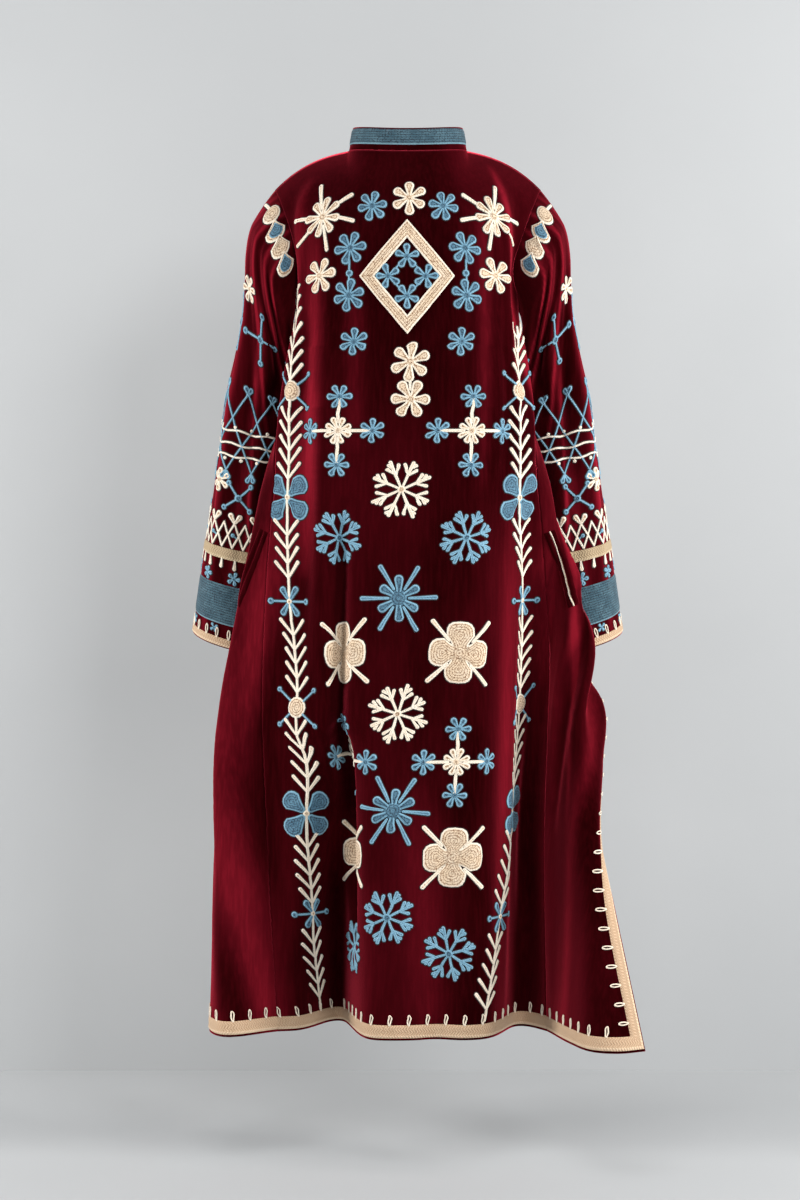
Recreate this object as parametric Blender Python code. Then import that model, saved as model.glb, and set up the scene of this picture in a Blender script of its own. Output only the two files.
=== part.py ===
"""Duster coat worn open, seen from behind in the photograph, as the cloth pieces that a maker would cut.

Metres, +Z up. The front faces -Y, the back faces +Y, and +X is the wearer's left. The origin is the
middle of the neck opening, where the wearer's neck and shoulders hold the coat.
"""

import math

import bpy
import numpy as np

# Driving sizes
WALL = 0.0024  # velvet with its stitched face
GAP = 0.0003  # between pieces at a seam, and under what lies on a panel
HEM = -1.278  # the hem's level
UNDERARM = -0.225  # the level where the armhole starts
NECK_HALF = 0.087  # half the width of the neck opening
NECK_BACK = 0.065  # how far behind the origin the neck seam runs
NECK_RISE = 0.004  # the neck seam's level behind
NECK_SIDE = 0.011  # and where it meets the shoulder seams
SLOPE = 0.022  # how far a shoulder seam falls before it rounds over
SHOULDER = (0.197, -0.006, -0.046)  # the outer end of the shoulder seam
FRONT_NECK = (0.056, -0.092, -0.078)  # the top corner of each front
COLLAR_TALL = 0.033
BRAID_TALL = 0.019  # the braid along the hem
BRAID_THICK = 0.0014
BAND_THICK = 0.0012
WELT_THICK = 0.0020
WELT_OFF = 0.0010
WELT_WIDE = 0.008
SLEEVE_LONG = 0.667  # from the armhole's top to the cuff's edge
ARMHOLE_GAP = 0.0009  # a sleeve starts this far out from its armhole
POCKET_TOP = -0.535  # the level of the pocket's upper end
POCKET_CELLS = 2  # the cells of the front's grid that the pocket runs down
CUFF_BRAID = 0.014
BAND_TALL = 0.060  # the blue band over a cuff
BAND_UP = 0.035  # from the cuff's edge to the blue band
STRAW_UP = 0.134  # from the cuff's edge to the straw coloured braid
STRAW_TALL = 0.017
ROUND = 2.25  # how square the back's sections are, 2 is an ellipse
CLOSE_FIT = -0.34  # the back lies close above this level
LOOSEN = 0.20  # and hangs loose this far below it
FLAT_BACK = 2.5  # how flat the loose back is across its middle
BLEND = 0.09  # the share of a sleeve that takes its shape from the armhole
SOFTEN = 0.008  # how softly a section turns
RIM_CUT = np.array([0.37, 0.61, 1.0])  # a rim's faces are cut from the end that lies further this way
SCOOP = 0.21  # how far an armhole cuts into a panel, as a share of its width
SCOOP_RISE = 0.42  # the share of the armhole's height where it is cut as far as that
NECK_SHARE = 0.47  # the share of a panel's top edge that is neck seam

# Grid sizes
BACK_HALF_COLUMNS = 15
FRONT_COLUMNS = 13
SEAM_COLUMN = 0.052  # the share of a front's width in each of the three columns beside its side seam
EDGE_COLUMN = 0.088  # and in the column under the edge's braid
LOWER_ROWS = 17
UPPER_ROWS = 9
SLEEVE_ROWS = 12
COLLAR_COLUMNS = 20

# The back below the underarm, a row for each level: the side seams, the middle line and how far back it hangs
BACK_NAMES = ("level", "left", "left_y", "right", "right_y", "middle", "back")
BACK = (
    (-0.225, 0.166, 0.004, -0.164, 0.004, 0.000, 0.118),
    (-0.320, 0.176, 0.034, -0.172, 0.032, 0.002, 0.124),
    (-0.450, 0.192, 0.054, -0.188, 0.050, 0.006, 0.128),
    (-0.600, 0.204, 0.066, -0.200, 0.040, 0.012, 0.133),
    (-0.800, 0.212, 0.080, -0.206, 0.024, 0.016, 0.142),
    (-1.000, 0.205, 0.092, -0.205, 0.036, 0.026, 0.156),
    (-1.278, 0.190, 0.104, -0.203, 0.104, 0.036, 0.175),
)

# Each front below the underarm, a row for each level: a ridge, two turns and the free edge
FRONT_NAMES = ("level", "ridge", "ridge_y", "turn", "turn_y", "bend", "bend_y", "edge", "edge_y")
FRONT_LEFT = (
    (-0.225, 0.160, -0.028, 0.145, -0.068, 0.106, -0.108, 0.055, -0.122),
    (-0.320, 0.164, -0.006, 0.145, -0.056, 0.108, -0.110, 0.060, -0.134),
    (-0.450, 0.208, 0.018, 0.168, -0.036, 0.130, -0.090, 0.086, -0.128),
    (-0.600, 0.243, 0.048, 0.206, -0.002, 0.170, -0.050, 0.132, -0.100),
    (-0.700, 0.257, 0.062, 0.234, 0.010, 0.196, -0.026, 0.176, -0.075),
    (-0.800, 0.269, 0.074, 0.264, 0.016, 0.240, -0.036, 0.205, -0.085),
    (-0.900, 0.277, 0.088, 0.280, 0.030, 0.262, -0.032, 0.225, -0.085),
    (-1.100, 0.276, 0.118, 0.287, 0.062, 0.276, -0.006, 0.246, -0.075),
    (-1.278, 0.262, 0.150, 0.288, 0.110, 0.284, 0.030, 0.256, -0.058),
)
FRONT_RIGHT = (
    (-0.225, -0.158, -0.028, -0.143, -0.068, -0.106, -0.108, -0.055, -0.122),
    (-0.320, -0.160, -0.006, -0.143, -0.056, -0.108, -0.110, -0.062, -0.134),
    (-0.450, -0.203, 0.016, -0.168, -0.038, -0.130, -0.090, -0.088, -0.128),
    (-0.600, -0.245, 0.046, -0.216, 0.002, -0.172, -0.048, -0.136, -0.094),
    (-0.700, -0.272, 0.058, -0.250, 0.012, -0.208, -0.016, -0.190, -0.052),
    (-0.800, -0.258, 0.086, -0.264, 0.052, -0.288, 0.040, -0.278, 0.004),
    (-0.890, -0.254, 0.106, -0.270, 0.098, -0.286, 0.078, -0.280, 0.044),
    (-0.980, -0.244, 0.130, -0.264, 0.142, -0.277, 0.134, -0.276, 0.104),
    (-1.080, -0.240, 0.152, -0.260, 0.182, -0.278, 0.188, -0.294, 0.170),
    (-1.278, -0.231, 0.200, -0.258, 0.258, -0.296, 0.268, -0.333, 0.250),
)

# The back's folds: where each starts, where it lies there and at the hem, how deep it is at the hem,
# how wide its two flanks are, and how fast it grows
FOLD_NAMES = ("start", "upper", "lower", "deep", "flank_left", "flank_right", "growth")
FOLDS = (
    (-0.800, 0.095, 0.100, 0.150, 0.050, 0.026, 0.80),
    (-0.420, -0.176, -0.163, 0.085, 0.030, 0.046, 0.85),
    (-0.720, -0.060, -0.040, 0.012, 0.024, 0.024, 1.00),
)

# The left sleeve, a row for each section: its outer and inner ends, its middle's y and half its depth
SLEEVE_NAMES = ("station", "outer", "outer_z", "inner", "inner_z", "middle_y", "half_deep")
SLEEVE = (
    (0.00, 0.202, -0.052, 0.172, -0.232, 0.002, 0.066),
    (0.09, 0.236, -0.091, 0.171, -0.250, -0.008, 0.066),
    (0.28, 0.257, -0.232, 0.162, -0.312, -0.032, 0.060),
    (0.50, 0.281, -0.384, 0.168, -0.408, -0.050, 0.058),
    (0.75, 0.303, -0.545, 0.186, -0.565, -0.076, 0.058),
    (1.00, 0.327, -0.703, 0.196, -0.734, -0.104, 0.060),
)

# The sleeves' creases: how far round, from and to what share of the length, how far they turn, depth and width
CREASE_NAMES = ("round", "from", "to", "turn", "deep", "wide")
CREASES = (
    (0.14, 0.06, 0.62, 0.10, 0.011, 0.050),
    (0.30, 0.10, 0.95, -0.06, 0.009, 0.045),
    (0.47, 0.16, 0.80, 0.05, 0.007, 0.050),
    (0.66, 0.08, 0.70, 0.05, 0.009, 0.055),
    (0.84, 0.12, 0.90, -0.05, 0.009, 0.050),
)

# Colour (linear), roughness and metallic value of each material
VELVET = ((0.075, 0.004, 0.008), 0.62, 0.0)
CREAM = ((0.62, 0.46, 0.29), 0.85, 0.0)
STRAW = ((0.46, 0.36, 0.22), 0.85, 0.0)
BLUE = ((0.075, 0.17, 0.26), 0.85, 0.0)


def hermite(xs, ys, x):
    """A smooth curve through (xs, ys), read at x."""
    xs, ys = np.asarray(xs, float), np.asarray(ys, float)
    order = np.argsort(xs)
    xs, ys = xs[order], ys[order]
    slope = np.gradient(ys, xs)
    i = np.clip(np.searchsorted(xs, x) - 1, 0, len(xs) - 2)
    h = xs[i + 1] - xs[i]
    t = np.clip((x - xs[i]) / h, 0, 1)
    start = (2 * t**3 - 3 * t**2 + 1) * ys[i] + (t**3 - 2 * t**2 + t) * h * slope[i]
    return start + (3 * t**2 - 2 * t**3) * ys[i + 1] + (t**3 - t**2) * h * slope[i + 1]


def read(table, names, level):
    """Every column of a table at a level, by name."""
    rows = np.array(table)
    return {n: float(hermite(rows[:, 0], rows[:, k], level)) for k, n in enumerate(names)}


def ease(x):
    """0 to 1 with soft ends."""
    x = np.clip(x, 0, 1)
    return x * x * (3 - 2 * x)


def resample(line, shares):
    """Points at the given shares of a line's length."""
    along = np.concatenate([[0], np.cumsum(np.linalg.norm(np.diff(line, axis=0), axis=1))])
    return np.stack([np.interp(np.asarray(shares) * along[-1], along, line[:, k]) for k in (0, 1)], axis=1)


def back_line(level):
    """The back's section at a level, from the right side seam to the left one."""
    at = read(BACK, BACK_NAMES, level)
    a = np.linspace(-1, 1, 401)
    left = a > 0
    half = np.where(left, at["left"], -at["right"])
    seam = np.where(left, at["left_y"], at["right_y"])
    hang = ease((CLOSE_FIT - level) / LOOSEN)
    s, c = np.sin(a * math.pi / 2), np.cos(a * math.pi / 2)
    worn = np.sign(s) * np.abs(s) ** (2 / ROUND)
    x = half * (worn + (a - worn) * hang)
    fall = np.abs(c) ** (2 / ROUND)
    y = seam + (at["back"] - seam) * (fall + (1 - ease(np.abs(a) ** FLAT_BACK) - fall) * hang)
    for row in FOLDS:
        fold = dict(zip(FOLD_NAMES, row))
        down = np.clip((fold["start"] - level) / (fold["start"] - HEM), 0, 1)
        place = fold["upper"] + (fold["lower"] - fold["upper"]) * down
        flank = np.where(x > place, fold["flank_left"], fold["flank_right"])
        depth = fold["deep"] * down ** fold["growth"] * (1 - np.abs(a) ** 8)
        y = y - depth * np.exp(-(((x - place) / flank) ** 2))
    return np.stack([x, y], axis=1)


def front_line(level, side):
    """A front's section at a level, from its side seam to its free edge."""
    at = read(FRONT_LEFT if side > 0 else FRONT_RIGHT, FRONT_NAMES, level)
    seam = read(BACK, BACK_NAMES, level)
    start = (seam["left"], seam["left_y"]) if side > 0 else (seam["right"], seam["right_y"])
    turns = np.array([start] + [(at[n], at[n + "_y"]) for n in ("ridge", "turn", "bend", "edge")])
    steps = np.concatenate([[0], np.cumsum(np.sqrt(np.linalg.norm(np.diff(turns, axis=0), axis=1)))])
    fine = np.linspace(0, steps[-1], 201)
    return np.stack([hermite(steps, turns[:, 0], fine), hermite(steps, turns[:, 1], fine)], axis=1)


def section(level):
    """The whole section at a level in four stretches, each from a middle or a seam outward, with soft turns."""
    back = back_line(level)
    lines = [front_line(level, -1)[:0:-1], back, front_line(level, 1)[1:]]
    line = np.concatenate(lines)
    along = np.concatenate([[0], np.cumsum(np.linalg.norm(np.diff(line, axis=0), axis=1))])
    middle = np.argmin(np.abs(back[:, 0] - read(BACK, BACK_NAMES, level)["middle"]))
    marks = np.array([len(lines[0]), len(lines[0]) + middle, len(line) - len(lines[2]) - 1])
    even = np.linspace(0, along[-1], 1001)
    marks = np.searchsorted(even, along[marks])
    line = np.stack([np.interp(even, along, line[:, k]) for k in (0, 1)], axis=1)
    reach = int(3 * SOFTEN / even[1])
    weight = np.exp(-0.5 * (np.arange(-reach, reach + 1) * even[1] / SOFTEN) ** 2)
    before, after = 2 * line[0] - line[reach:0:-1], 2 * line[-1] - line[-2 : -reach - 2 : -1]
    padded = np.concatenate([before, line, after])
    line = np.stack([np.convolve(padded[:, k], weight / weight.sum(), "valid") for k in (0, 1)], axis=1)
    right, middle, left = marks
    return line[right::-1], line[middle : right - 1 if right else None : -1], line[middle : left + 1], line[left:]


def back_columns(level, shares):
    """Points across the back, shares from -1 at the right side seam to 1 at the left one."""
    stretches = section(level)
    shares = np.asarray(shares)
    return np.concatenate([resample(stretches[1], -shares[shares < 0]), resample(stretches[2], shares[shares >= 0])])


def front_columns(level, side, shares):
    """Points across a front, shares from 0 at the side seam to 1 at the free edge."""
    return resample(section(level)[3 if side > 0 else 0], shares)


def shoulder_seam(share, side):
    """The shoulder seam from the neck, 0, to the armhole, 1."""
    share = np.clip(share, 0, 1)
    x = NECK_HALF + (SHOULDER[0] - NECK_HALF) * share
    z = NECK_SIDE - SLOPE * share + (SHOULDER[2] - NECK_SIDE + SLOPE) * share**2.6
    return np.stack([side * x, SHOULDER[1] * share, z], axis=-1)


def back_neck(turn, side):
    """The neck seam behind, from the middle, 0, round to the shoulder, a quarter turn."""
    rise = NECK_RISE + (NECK_SIDE - NECK_RISE) * np.sin(turn) ** 2
    return np.stack([side * NECK_HALF * np.sin(turn), NECK_BACK * np.cos(turn), rise], axis=-1)


def back_top(share):
    """The back's top edge, share from -1 to 1: neck seam in the middle, shoulder seams outside it."""
    neck = np.clip(np.abs(share) / NECK_SHARE, 0, 1) * math.pi / 2
    side = np.where(share < 0, -1.0, 1.0)
    curve = back_neck(neck, side)
    outer = shoulder_seam((np.abs(share) - NECK_SHARE) / (1 - NECK_SHARE), side)
    return np.where((np.abs(share) > NECK_SHARE)[:, None], outer, curve)


def front_neck(share, side):
    """A front's neck seam from the shoulder, 0, to its top corner, 1."""
    share = np.clip(share, 0, 1)
    turn = share * math.pi / 2
    x = FRONT_NECK[0] + (NECK_HALF - FRONT_NECK[0]) * np.clip(np.cos(turn), 0, 1) ** 0.8
    y = FRONT_NECK[1] * np.sin(turn)
    z = NECK_SIDE + (FRONT_NECK[2] - NECK_SIDE) * share**1.25
    return np.stack([side * x, y, z], axis=-1)


def front_top(share, side):
    """A front's top edge, 0 at the armhole and 1 at the top corner."""
    outer = shoulder_seam(1 - share / (1 - NECK_SHARE), side)
    inner = front_neck((share - (1 - NECK_SHARE)) / NECK_SHARE, side)
    return np.where((share < 1 - NECK_SHARE)[:, None], outer, inner)


def upper_row(base, top, r, fullness):
    """A row a share r of the way from the underarm's level to a panel's top edge, over the shoulder blades or chest."""
    p = np.column_stack([base, np.full(len(base), UNDERARM)])
    p[:, 0] += (top[:, 0] - p[:, 0]) * r**2
    p[:, 1] += (top[:, 1] - p[:, 1]) * r**fullness
    p[:, 2] += (top[:, 2] - p[:, 2]) * r
    return p


def scoop(r):
    """The share of a panel's width that is left beside the armhole, a share r of the way up it."""
    return 1 - SCOOP * math.sin(math.pi / 2 * min(1, r / SCOOP_RISE)) ** 0.8


def back_grid(shares, lower, upper):
    """The back's face, rows from the hem up: levels below the underarm, then shares of the way to its top."""
    rows = [np.column_stack([back_columns(z, shares), np.full(len(shares), z)]) for z in lower]
    for r in upper:
        base = back_columns(UNDERARM, shares * scoop(r))
        rows.append(upper_row(base, back_top(shares), r, 2.6 + 1.6 * shares**2))
    return np.array(rows)


def front_grid(side, shares, lower, upper):
    """A front's face, rows from the hem up, columns from its side seam to its free edge."""
    rows = [np.column_stack([front_columns(z, side, shares), np.full(len(shares), z)]) for z in lower]
    for r in upper:
        base = front_columns(UNDERARM, side, 1 - (1 - shares) * scoop(r))
        rows.append(upper_row(base, front_top(shares, side), r, 2.2 + 2.0 * (1 - shares)))
    return np.array(rows)


def grid_normals(grid, closed=False):
    """Outward unit normals of a grid, rows up and columns along."""
    up = np.gradient(grid, axis=0)
    if closed:
        along = np.roll(grid, -1, axis=1) - np.roll(grid, 1, axis=1)
    else:
        along = np.gradient(grid, axis=1)
    n = np.cross(up, along)
    return n / np.maximum(np.linalg.norm(n, axis=-1, keepdims=True), 1e-12)


def material(name, look):
    colour, rough, metal = look
    mat = bpy.data.materials.new(name)
    mat.use_nodes = True
    shader = mat.node_tree.nodes["Principled BSDF"]
    shader.inputs["Base Color"].default_value = (*colour, 1.0)
    shader.inputs["Roughness"].default_value = rough
    shader.inputs["Metallic"].default_value = metal
    return mat


def wall(name, outer, inner, look, closed=False, turned=False):
    """A closed solid between two grids of the same shape, open at its rim or closed into a tube.

    Each cell is cut along its rising diagonal, or along its falling one where turned is set.
    """
    rows, columns = outer.shape[:2]
    points = np.concatenate([outer.reshape(-1, 3), inner.reshape(-1, 3)])
    across = columns if closed else columns - 1
    back = rows * columns

    def at(i, j):
        return i * columns + j % columns

    faces = []
    for i in range(rows - 1):
        for j in range(across):
            a, b, c, d = at(i, j), at(i, j + 1), at(i + 1, j + 1), at(i + 1, j)
            halves = ((a, b, d), (b, c, d)) if turned else ((a, b, c), (a, c, d))
            for f, g, h in halves:
                faces += [(f, h, g), (back + f, back + g, back + h)]
    rim = [(at(0, j), at(0, j + 1)) for j in range(across)]
    rim += [(at(rows - 1, j + 1), at(rows - 1, j)) for j in range(across)]
    if not closed:
        rim += [(at(i, columns - 1), at(i + 1, columns - 1)) for i in range(rows - 1)]
        rim += [(at(i + 1, 0), at(i, 0)) for i in range(rows - 1)]
    for a, b in rim:
        faces += rim_faces(points, a, b, back + a, back + b)
    return solid(name, points, faces, look)


def rim_faces(points, a, b, under_a, under_b):
    """Two faces of a rim, cut the same way on both sides of a seam."""
    if np.dot(points[a] - points[b], RIM_CUT) > 0:
        return [(a, b, under_b), (a, under_b, under_a)]
    return [(a, b, under_a), (b, under_b, under_a)]


def corner_strip(name, outer, inner, look, tall, wide):
    """A closed solid on the cells along a grid's first rows and last columns, with a mitred corner."""
    rows, columns = outer.shape[:2]
    cells = [(i, j) for i in range(rows - 1) for j in range(columns - 1) if i < tall or j >= columns - 1 - wide]
    number, points, faces, uses = {}, [], [], {}
    for i, j in cells:
        corners = [(i, j), (i, j + 1), (i + 1, j + 1), (i + 1, j)]
        for c in corners:
            if c not in number:
                number[c] = len(points)
                points += [outer[c], inner[c]]
        a, b, c, d = (number[c] for c in corners)
        faces += [(a, d, b), (b, d, c), (a + 1, b + 1, d + 1), (b + 1, c + 1, d + 1)]
        for edge in ((a, b), (b, c), (c, d), (d, a)):
            uses[edge] = uses.get(edge, 0) + 1
    points = np.array(points)
    for a, b in uses:
        if (b, a) not in uses:
            faces += rim_faces(points, a, b, a + 1, b + 1)
    return solid(name, points, faces, look)


def solid(name, points, faces, look):
    """An object with its own material, its faces turned outward."""
    size = sum(np.dot(points[a], np.cross(points[b], points[c])) for a, b, c in faces)
    if size < 0:
        faces = [(a, c, b) for a, b, c in faces]
    mesh = bpy.data.meshes.new(name)
    mesh.from_pydata([tuple(map(float, p)) for p in points], [], faces)
    mesh.materials.append(material(name, look))
    item = bpy.data.objects.new(name, mesh)
    bpy.context.scene.collection.objects.link(item)
    return item


def moved(grid, normals, off):
    return grid + normals * off


def inset_columns(grid, first, last):
    """Moves a grid's first and last columns in along its rows, to leave the gap at a seam."""
    out = grid.copy()
    for here, beside, size in ((0, 1, first), (-1, -2, last)):
        step = grid[:, beside] - grid[:, here]
        out[:, here] += step / np.linalg.norm(step, axis=-1, keepdims=True) * size
    return out


def body_panels():
    """The back and both fronts as grids with their normals, which agree at the seams."""
    lower = np.concatenate([[HEM, HEM + BRAID_TALL], np.linspace(HEM + 0.062, UNDERARM, LOWER_ROWS)])
    upper = (np.arange(UPPER_ROWS) + 1) / UPPER_ROWS
    half = np.linspace(0, 1, BACK_HALF_COLUMNS + 1)
    back_shares = np.concatenate([-half[:0:-1], half])
    by_seam = np.array([0, 1, 2]) * SEAM_COLUMN
    front_shares = np.concatenate([by_seam, np.linspace(3 * SEAM_COLUMN, 1 - EDGE_COLUMN, FRONT_COLUMNS - 3), [1.0]])
    back = back_grid(back_shares, lower, upper)
    fronts = {s: front_grid(s, front_shares, lower, upper) for s in (1, -1)}
    body = np.concatenate([fronts[-1][:, :0:-1], back, fronts[1][:, 1:]], axis=1)
    normals = grid_normals(body)
    n = len(front_shares) - 1
    split = len(lower)
    back_n = normals[:, n : n + back.shape[1]].copy()
    front_n = {-1: normals[:, n::-1].copy(), 1: normals[:, n + back.shape[1] - 1 :].copy()}
    own_back = grid_normals(back)
    back_n[split:] = own_back[split:]
    for s in (1, -1):
        own = grid_normals(fronts[s]) * s
        front_n[s][split:] = own[split:]
    shoulder_normals(back, back_n, np.abs(back_shares) >= NECK_SHARE)
    for s in (1, -1):
        shoulder_normals(fronts[s], front_n[s], front_shares <= 1 - NECK_SHARE)
    return back, back_n, fronts, front_n, split


def shoulder_normals(grid, normals, on_seam):
    """Turns a panel's normals along its shoulder seam the way they turn on the panel beyond it."""
    along = np.gradient(grid[-1], axis=0)[on_seam]
    upward = np.stack([-along[:, 2], np.zeros(len(along)), along[:, 0]], axis=1)
    upward *= np.sign(upward[:, 2:])
    normals[-1][on_seam] = upward / np.linalg.norm(upward, axis=-1, keepdims=True)


def meet(one, other):
    """Two rows of normals, each turned toward the other where both face the same way."""
    share = np.clip(np.sum(one * other, axis=-1, keepdims=True), 0, 1)
    first, second = one + other * share, other + one * share
    return [n / np.linalg.norm(n, axis=-1, keepdims=True) for n in (first, second)]


def sleeve_grid(side, loop):
    """A sleeve's face, rows from the armhole down, columns round from the underarm by the back."""
    rows = np.array(SLEEVE)
    count = len(loop)
    stations = np.concatenate([np.linspace(0, 1, SLEEVE_ROWS + 1)[:-3], cuff_stations()])
    round_it = np.arange(count) / count
    grid = []
    for s in stations:
        outer = np.array([hermite(rows[:, 0], rows[:, 1], s), 0, hermite(rows[:, 0], rows[:, 2], s)])
        inner = np.array([hermite(rows[:, 0], rows[:, 3], s), 0, hermite(rows[:, 0], rows[:, 4], s)])
        deep = np.array([0, hermite(rows[:, 0], rows[:, 6], s), 0])
        middle = (outer + inner) / 2 + [0, hermite(rows[:, 0], rows[:, 5], s), 0]
        arm = (outer - inner) / 2
        turn = 2 * math.pi * round_it
        size = 1 + crease(round_it, s)
        ring = middle - np.cos(turn)[:, None] * arm * size[:, None] + np.sin(turn)[:, None] * deep * size[:, None]
        ring[:, 0] *= side
        keep = 1 - ease(s / BLEND)
        grid.append(ring + (loop - ring) * keep)
    return np.array(grid)


def cuff_stations():
    """Where the rows by the cuff lie, so that the braids and the band have rows of their own."""
    length = SLEEVE_LONG
    ups = (STRAW_UP + STRAW_TALL, STRAW_UP, BAND_UP + BAND_TALL, BAND_UP, CUFF_BRAID, 0.0)
    return np.array([1 - up / length for up in ups])


def crease(round_it, station):
    """How much smaller a sleeve's section is at each of its points, as a share of its half width."""
    size = np.zeros(len(round_it))
    for row in CREASES:
        c = dict(zip(CREASE_NAMES, row))
        share = (station - c["from"]) / (c["to"] - c["from"])
        if 0 < share < 1:
            away = (round_it - c["round"] - c["turn"] * share + 0.5) % 1 - 0.5
            size -= c["deep"] / 0.06 * np.sin(math.pi * share) * np.exp(-((away / c["wide"]) ** 2))
    return size


def armhole(back, front, split, side):
    """The armhole as one loop of points, from the underarm up the back's edge and down the front's."""
    rise = back[split - 1 :, -1 if side > 0 else 0]
    fall = front[split - 1 :, 0][::-1]
    return np.concatenate([rise, fall[1:-1]])


def share_armhole(back_n, front_n, split, side, sleeve_n):
    """Makes the normals round an armhole agree with the sleeve's first row."""
    loop, sleeve_n[0] = meet(armhole(back_n, front_n, split, side), sleeve_n[0])
    rise = len(back_n) - split + 1
    back_n[split - 1 :, -1 if side > 0 else 0] = loop[:rise]
    front_n[split - 1 :, 0] = np.concatenate([loop[rise - 1 :], loop[:1]])[::-1]


def build_body():
    back, back_n, fronts, front_n, split = body_panels()
    seam = GAP / 2 + 0.00002
    for s, name in ((1, "left"), (-1, "right")):
        loop = armhole(back, fronts[s], split, s)
        loop[:, 0] += s * ARMHOLE_GAP
        grid = sleeve_grid(s, loop)
        normals = grid_normals(grid, closed=True) * -s
        share_armhole(back_n, front_n[s], split, s, normals)
        build_sleeve(name, grid, normals)
    back = inset_columns(back, seam, seam)
    back[-1, :, 1] += seam
    wall("back", back, moved(back, back_n, -WALL), VELVET)
    low, high = moved(back, back_n, GAP), moved(back, back_n, GAP + BRAID_THICK)
    wall("hem_braid", high[:2], low[:2], CREAM)
    for s, name in ((1, "left"), (-1, "right")):
        front = inset_columns(fronts[s], seam, 0)
        front[-1, :, 1] -= seam
        wall(f"front_{name}", front, moved(front, front_n[s], -WALL), VELVET, turned=True)
        low, high = moved(front, front_n[s], GAP), moved(front, front_n[s], GAP + BRAID_THICK)
        corner_strip(f"front_braid_{name}", high, low, CREAM, 1, 1)
        build_welt(name, front, front_n[s])
    build_collar()


def build_welt(name, front, normals):
    """The pocket's lip: a slanting strip on the diagonals of the cells beside the side seam, moved out."""
    top = int(np.argmin(np.abs(front[:, 0, 2] - POCKET_TOP)))
    strip, out = [], []
    for k in range(POCKET_CELLS + 1):
        i, j = top - k, 1 + k
        share = WELT_WIDE / np.linalg.norm(front[i, j - 1] - front[i, j])
        strip.append([front[i, j] + (front[i, j - 1] - front[i, j]) * share, front[i, j]])
        out.append([normals[i, j] + (normals[i, j - 1] - normals[i, j]) * share, normals[i, j]])
    strip, out = np.array(strip[::-1]), np.array(out[::-1])
    out /= np.linalg.norm(out, axis=-1, keepdims=True)
    wall(f"pocket_welt_{name}", moved(strip, out, WELT_OFF + WELT_THICK), moved(strip, out, WELT_OFF), VELVET)


def build_sleeve(name, grid, normals):
    """A sleeve with its cuff braid, blue band and straw coloured braid."""
    wall(f"sleeve_{name}", grid, moved(grid, normals, -WALL), VELVET, closed=True)
    parts = (
        ("sleeve_braid", -6, BRAID_THICK, STRAW),
        ("cuff_band", -4, BAND_THICK, BLUE),
        ("cuff_braid", -2, BRAID_THICK, CREAM),
    )
    for part, row, thick, look in parts:
        rows = slice(row, row + 2 if row + 2 < 0 else None)
        low, high = moved(grid, normals, GAP)[rows], moved(grid, normals, GAP + thick)[rows]
        wall(f"{part}_{name}", high, low, look, closed=True)


def build_collar():
    """A low stand on the neck seam, and the blue band on it."""
    share = np.linspace(-1, 1, COLLAR_COLUMNS + 1)
    back_part = 0.52
    line = []
    for s in share:
        side = 1.0 if s >= 0 else -1.0
        if abs(s) <= back_part:
            line.append(tuple(back_neck(np.array(abs(s) / back_part * math.pi / 2), side)))
        else:
            line.append(tuple(front_neck(np.array((abs(s) - back_part) / (1 - back_part)), side)))
    line = np.array(line)
    away = line * (1, 1, 0)
    away = away / np.linalg.norm(away, axis=-1, keepdims=True)
    levels = np.array([0.0, 0.22, 0.62, 0.94, 1.0]) * COLLAR_TALL
    rise = line[None] + np.array([0, 0, 1.0]) * (levels + GAP + 0.0012)[:, None, None]
    rise = rise - away[None] * (levels * 0.18)[:, None, None]
    normals = grid_normals(rise)
    if np.sum(normals * away[None]) < 0:
        normals = -normals
    wall("collar", rise, moved(rise, normals, -WALL), VELVET)
    low, high = moved(rise, normals, GAP), moved(rise, normals, GAP + BAND_THICK)
    wall("collar_band", high[1:4], low[1:4], BLUE)


for old in list(bpy.data.objects):
    bpy.data.objects.remove(old, do_unlink=True)
build_body()
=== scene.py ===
"""Looks of the duster coat: velvet panels, chain stitched folk flowers, plaited braid and its little loops.

Metres, +Z up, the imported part's own frame: the front faces -Y, the back faces +Y and +X is the wearer's
left. A place on the cloth is given by how far across a panel it lies and how far down.
"""

import math

import bpy
import numpy as np
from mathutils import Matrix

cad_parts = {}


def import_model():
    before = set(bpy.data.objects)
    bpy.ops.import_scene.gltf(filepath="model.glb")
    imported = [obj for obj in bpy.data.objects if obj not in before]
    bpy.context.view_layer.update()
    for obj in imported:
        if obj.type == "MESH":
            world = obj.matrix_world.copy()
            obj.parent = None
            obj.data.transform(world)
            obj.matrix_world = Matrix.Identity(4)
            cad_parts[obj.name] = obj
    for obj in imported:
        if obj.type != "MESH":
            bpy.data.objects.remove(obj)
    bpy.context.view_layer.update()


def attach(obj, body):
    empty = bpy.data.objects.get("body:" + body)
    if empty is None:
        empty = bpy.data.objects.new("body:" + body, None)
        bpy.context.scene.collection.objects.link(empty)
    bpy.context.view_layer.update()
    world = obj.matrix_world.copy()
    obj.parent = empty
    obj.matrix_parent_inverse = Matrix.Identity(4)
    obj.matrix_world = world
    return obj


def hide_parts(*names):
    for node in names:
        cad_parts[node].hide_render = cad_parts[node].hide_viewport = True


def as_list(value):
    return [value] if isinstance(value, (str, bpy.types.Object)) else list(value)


SIDES = (("left", 1), ("right", -1))

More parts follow.
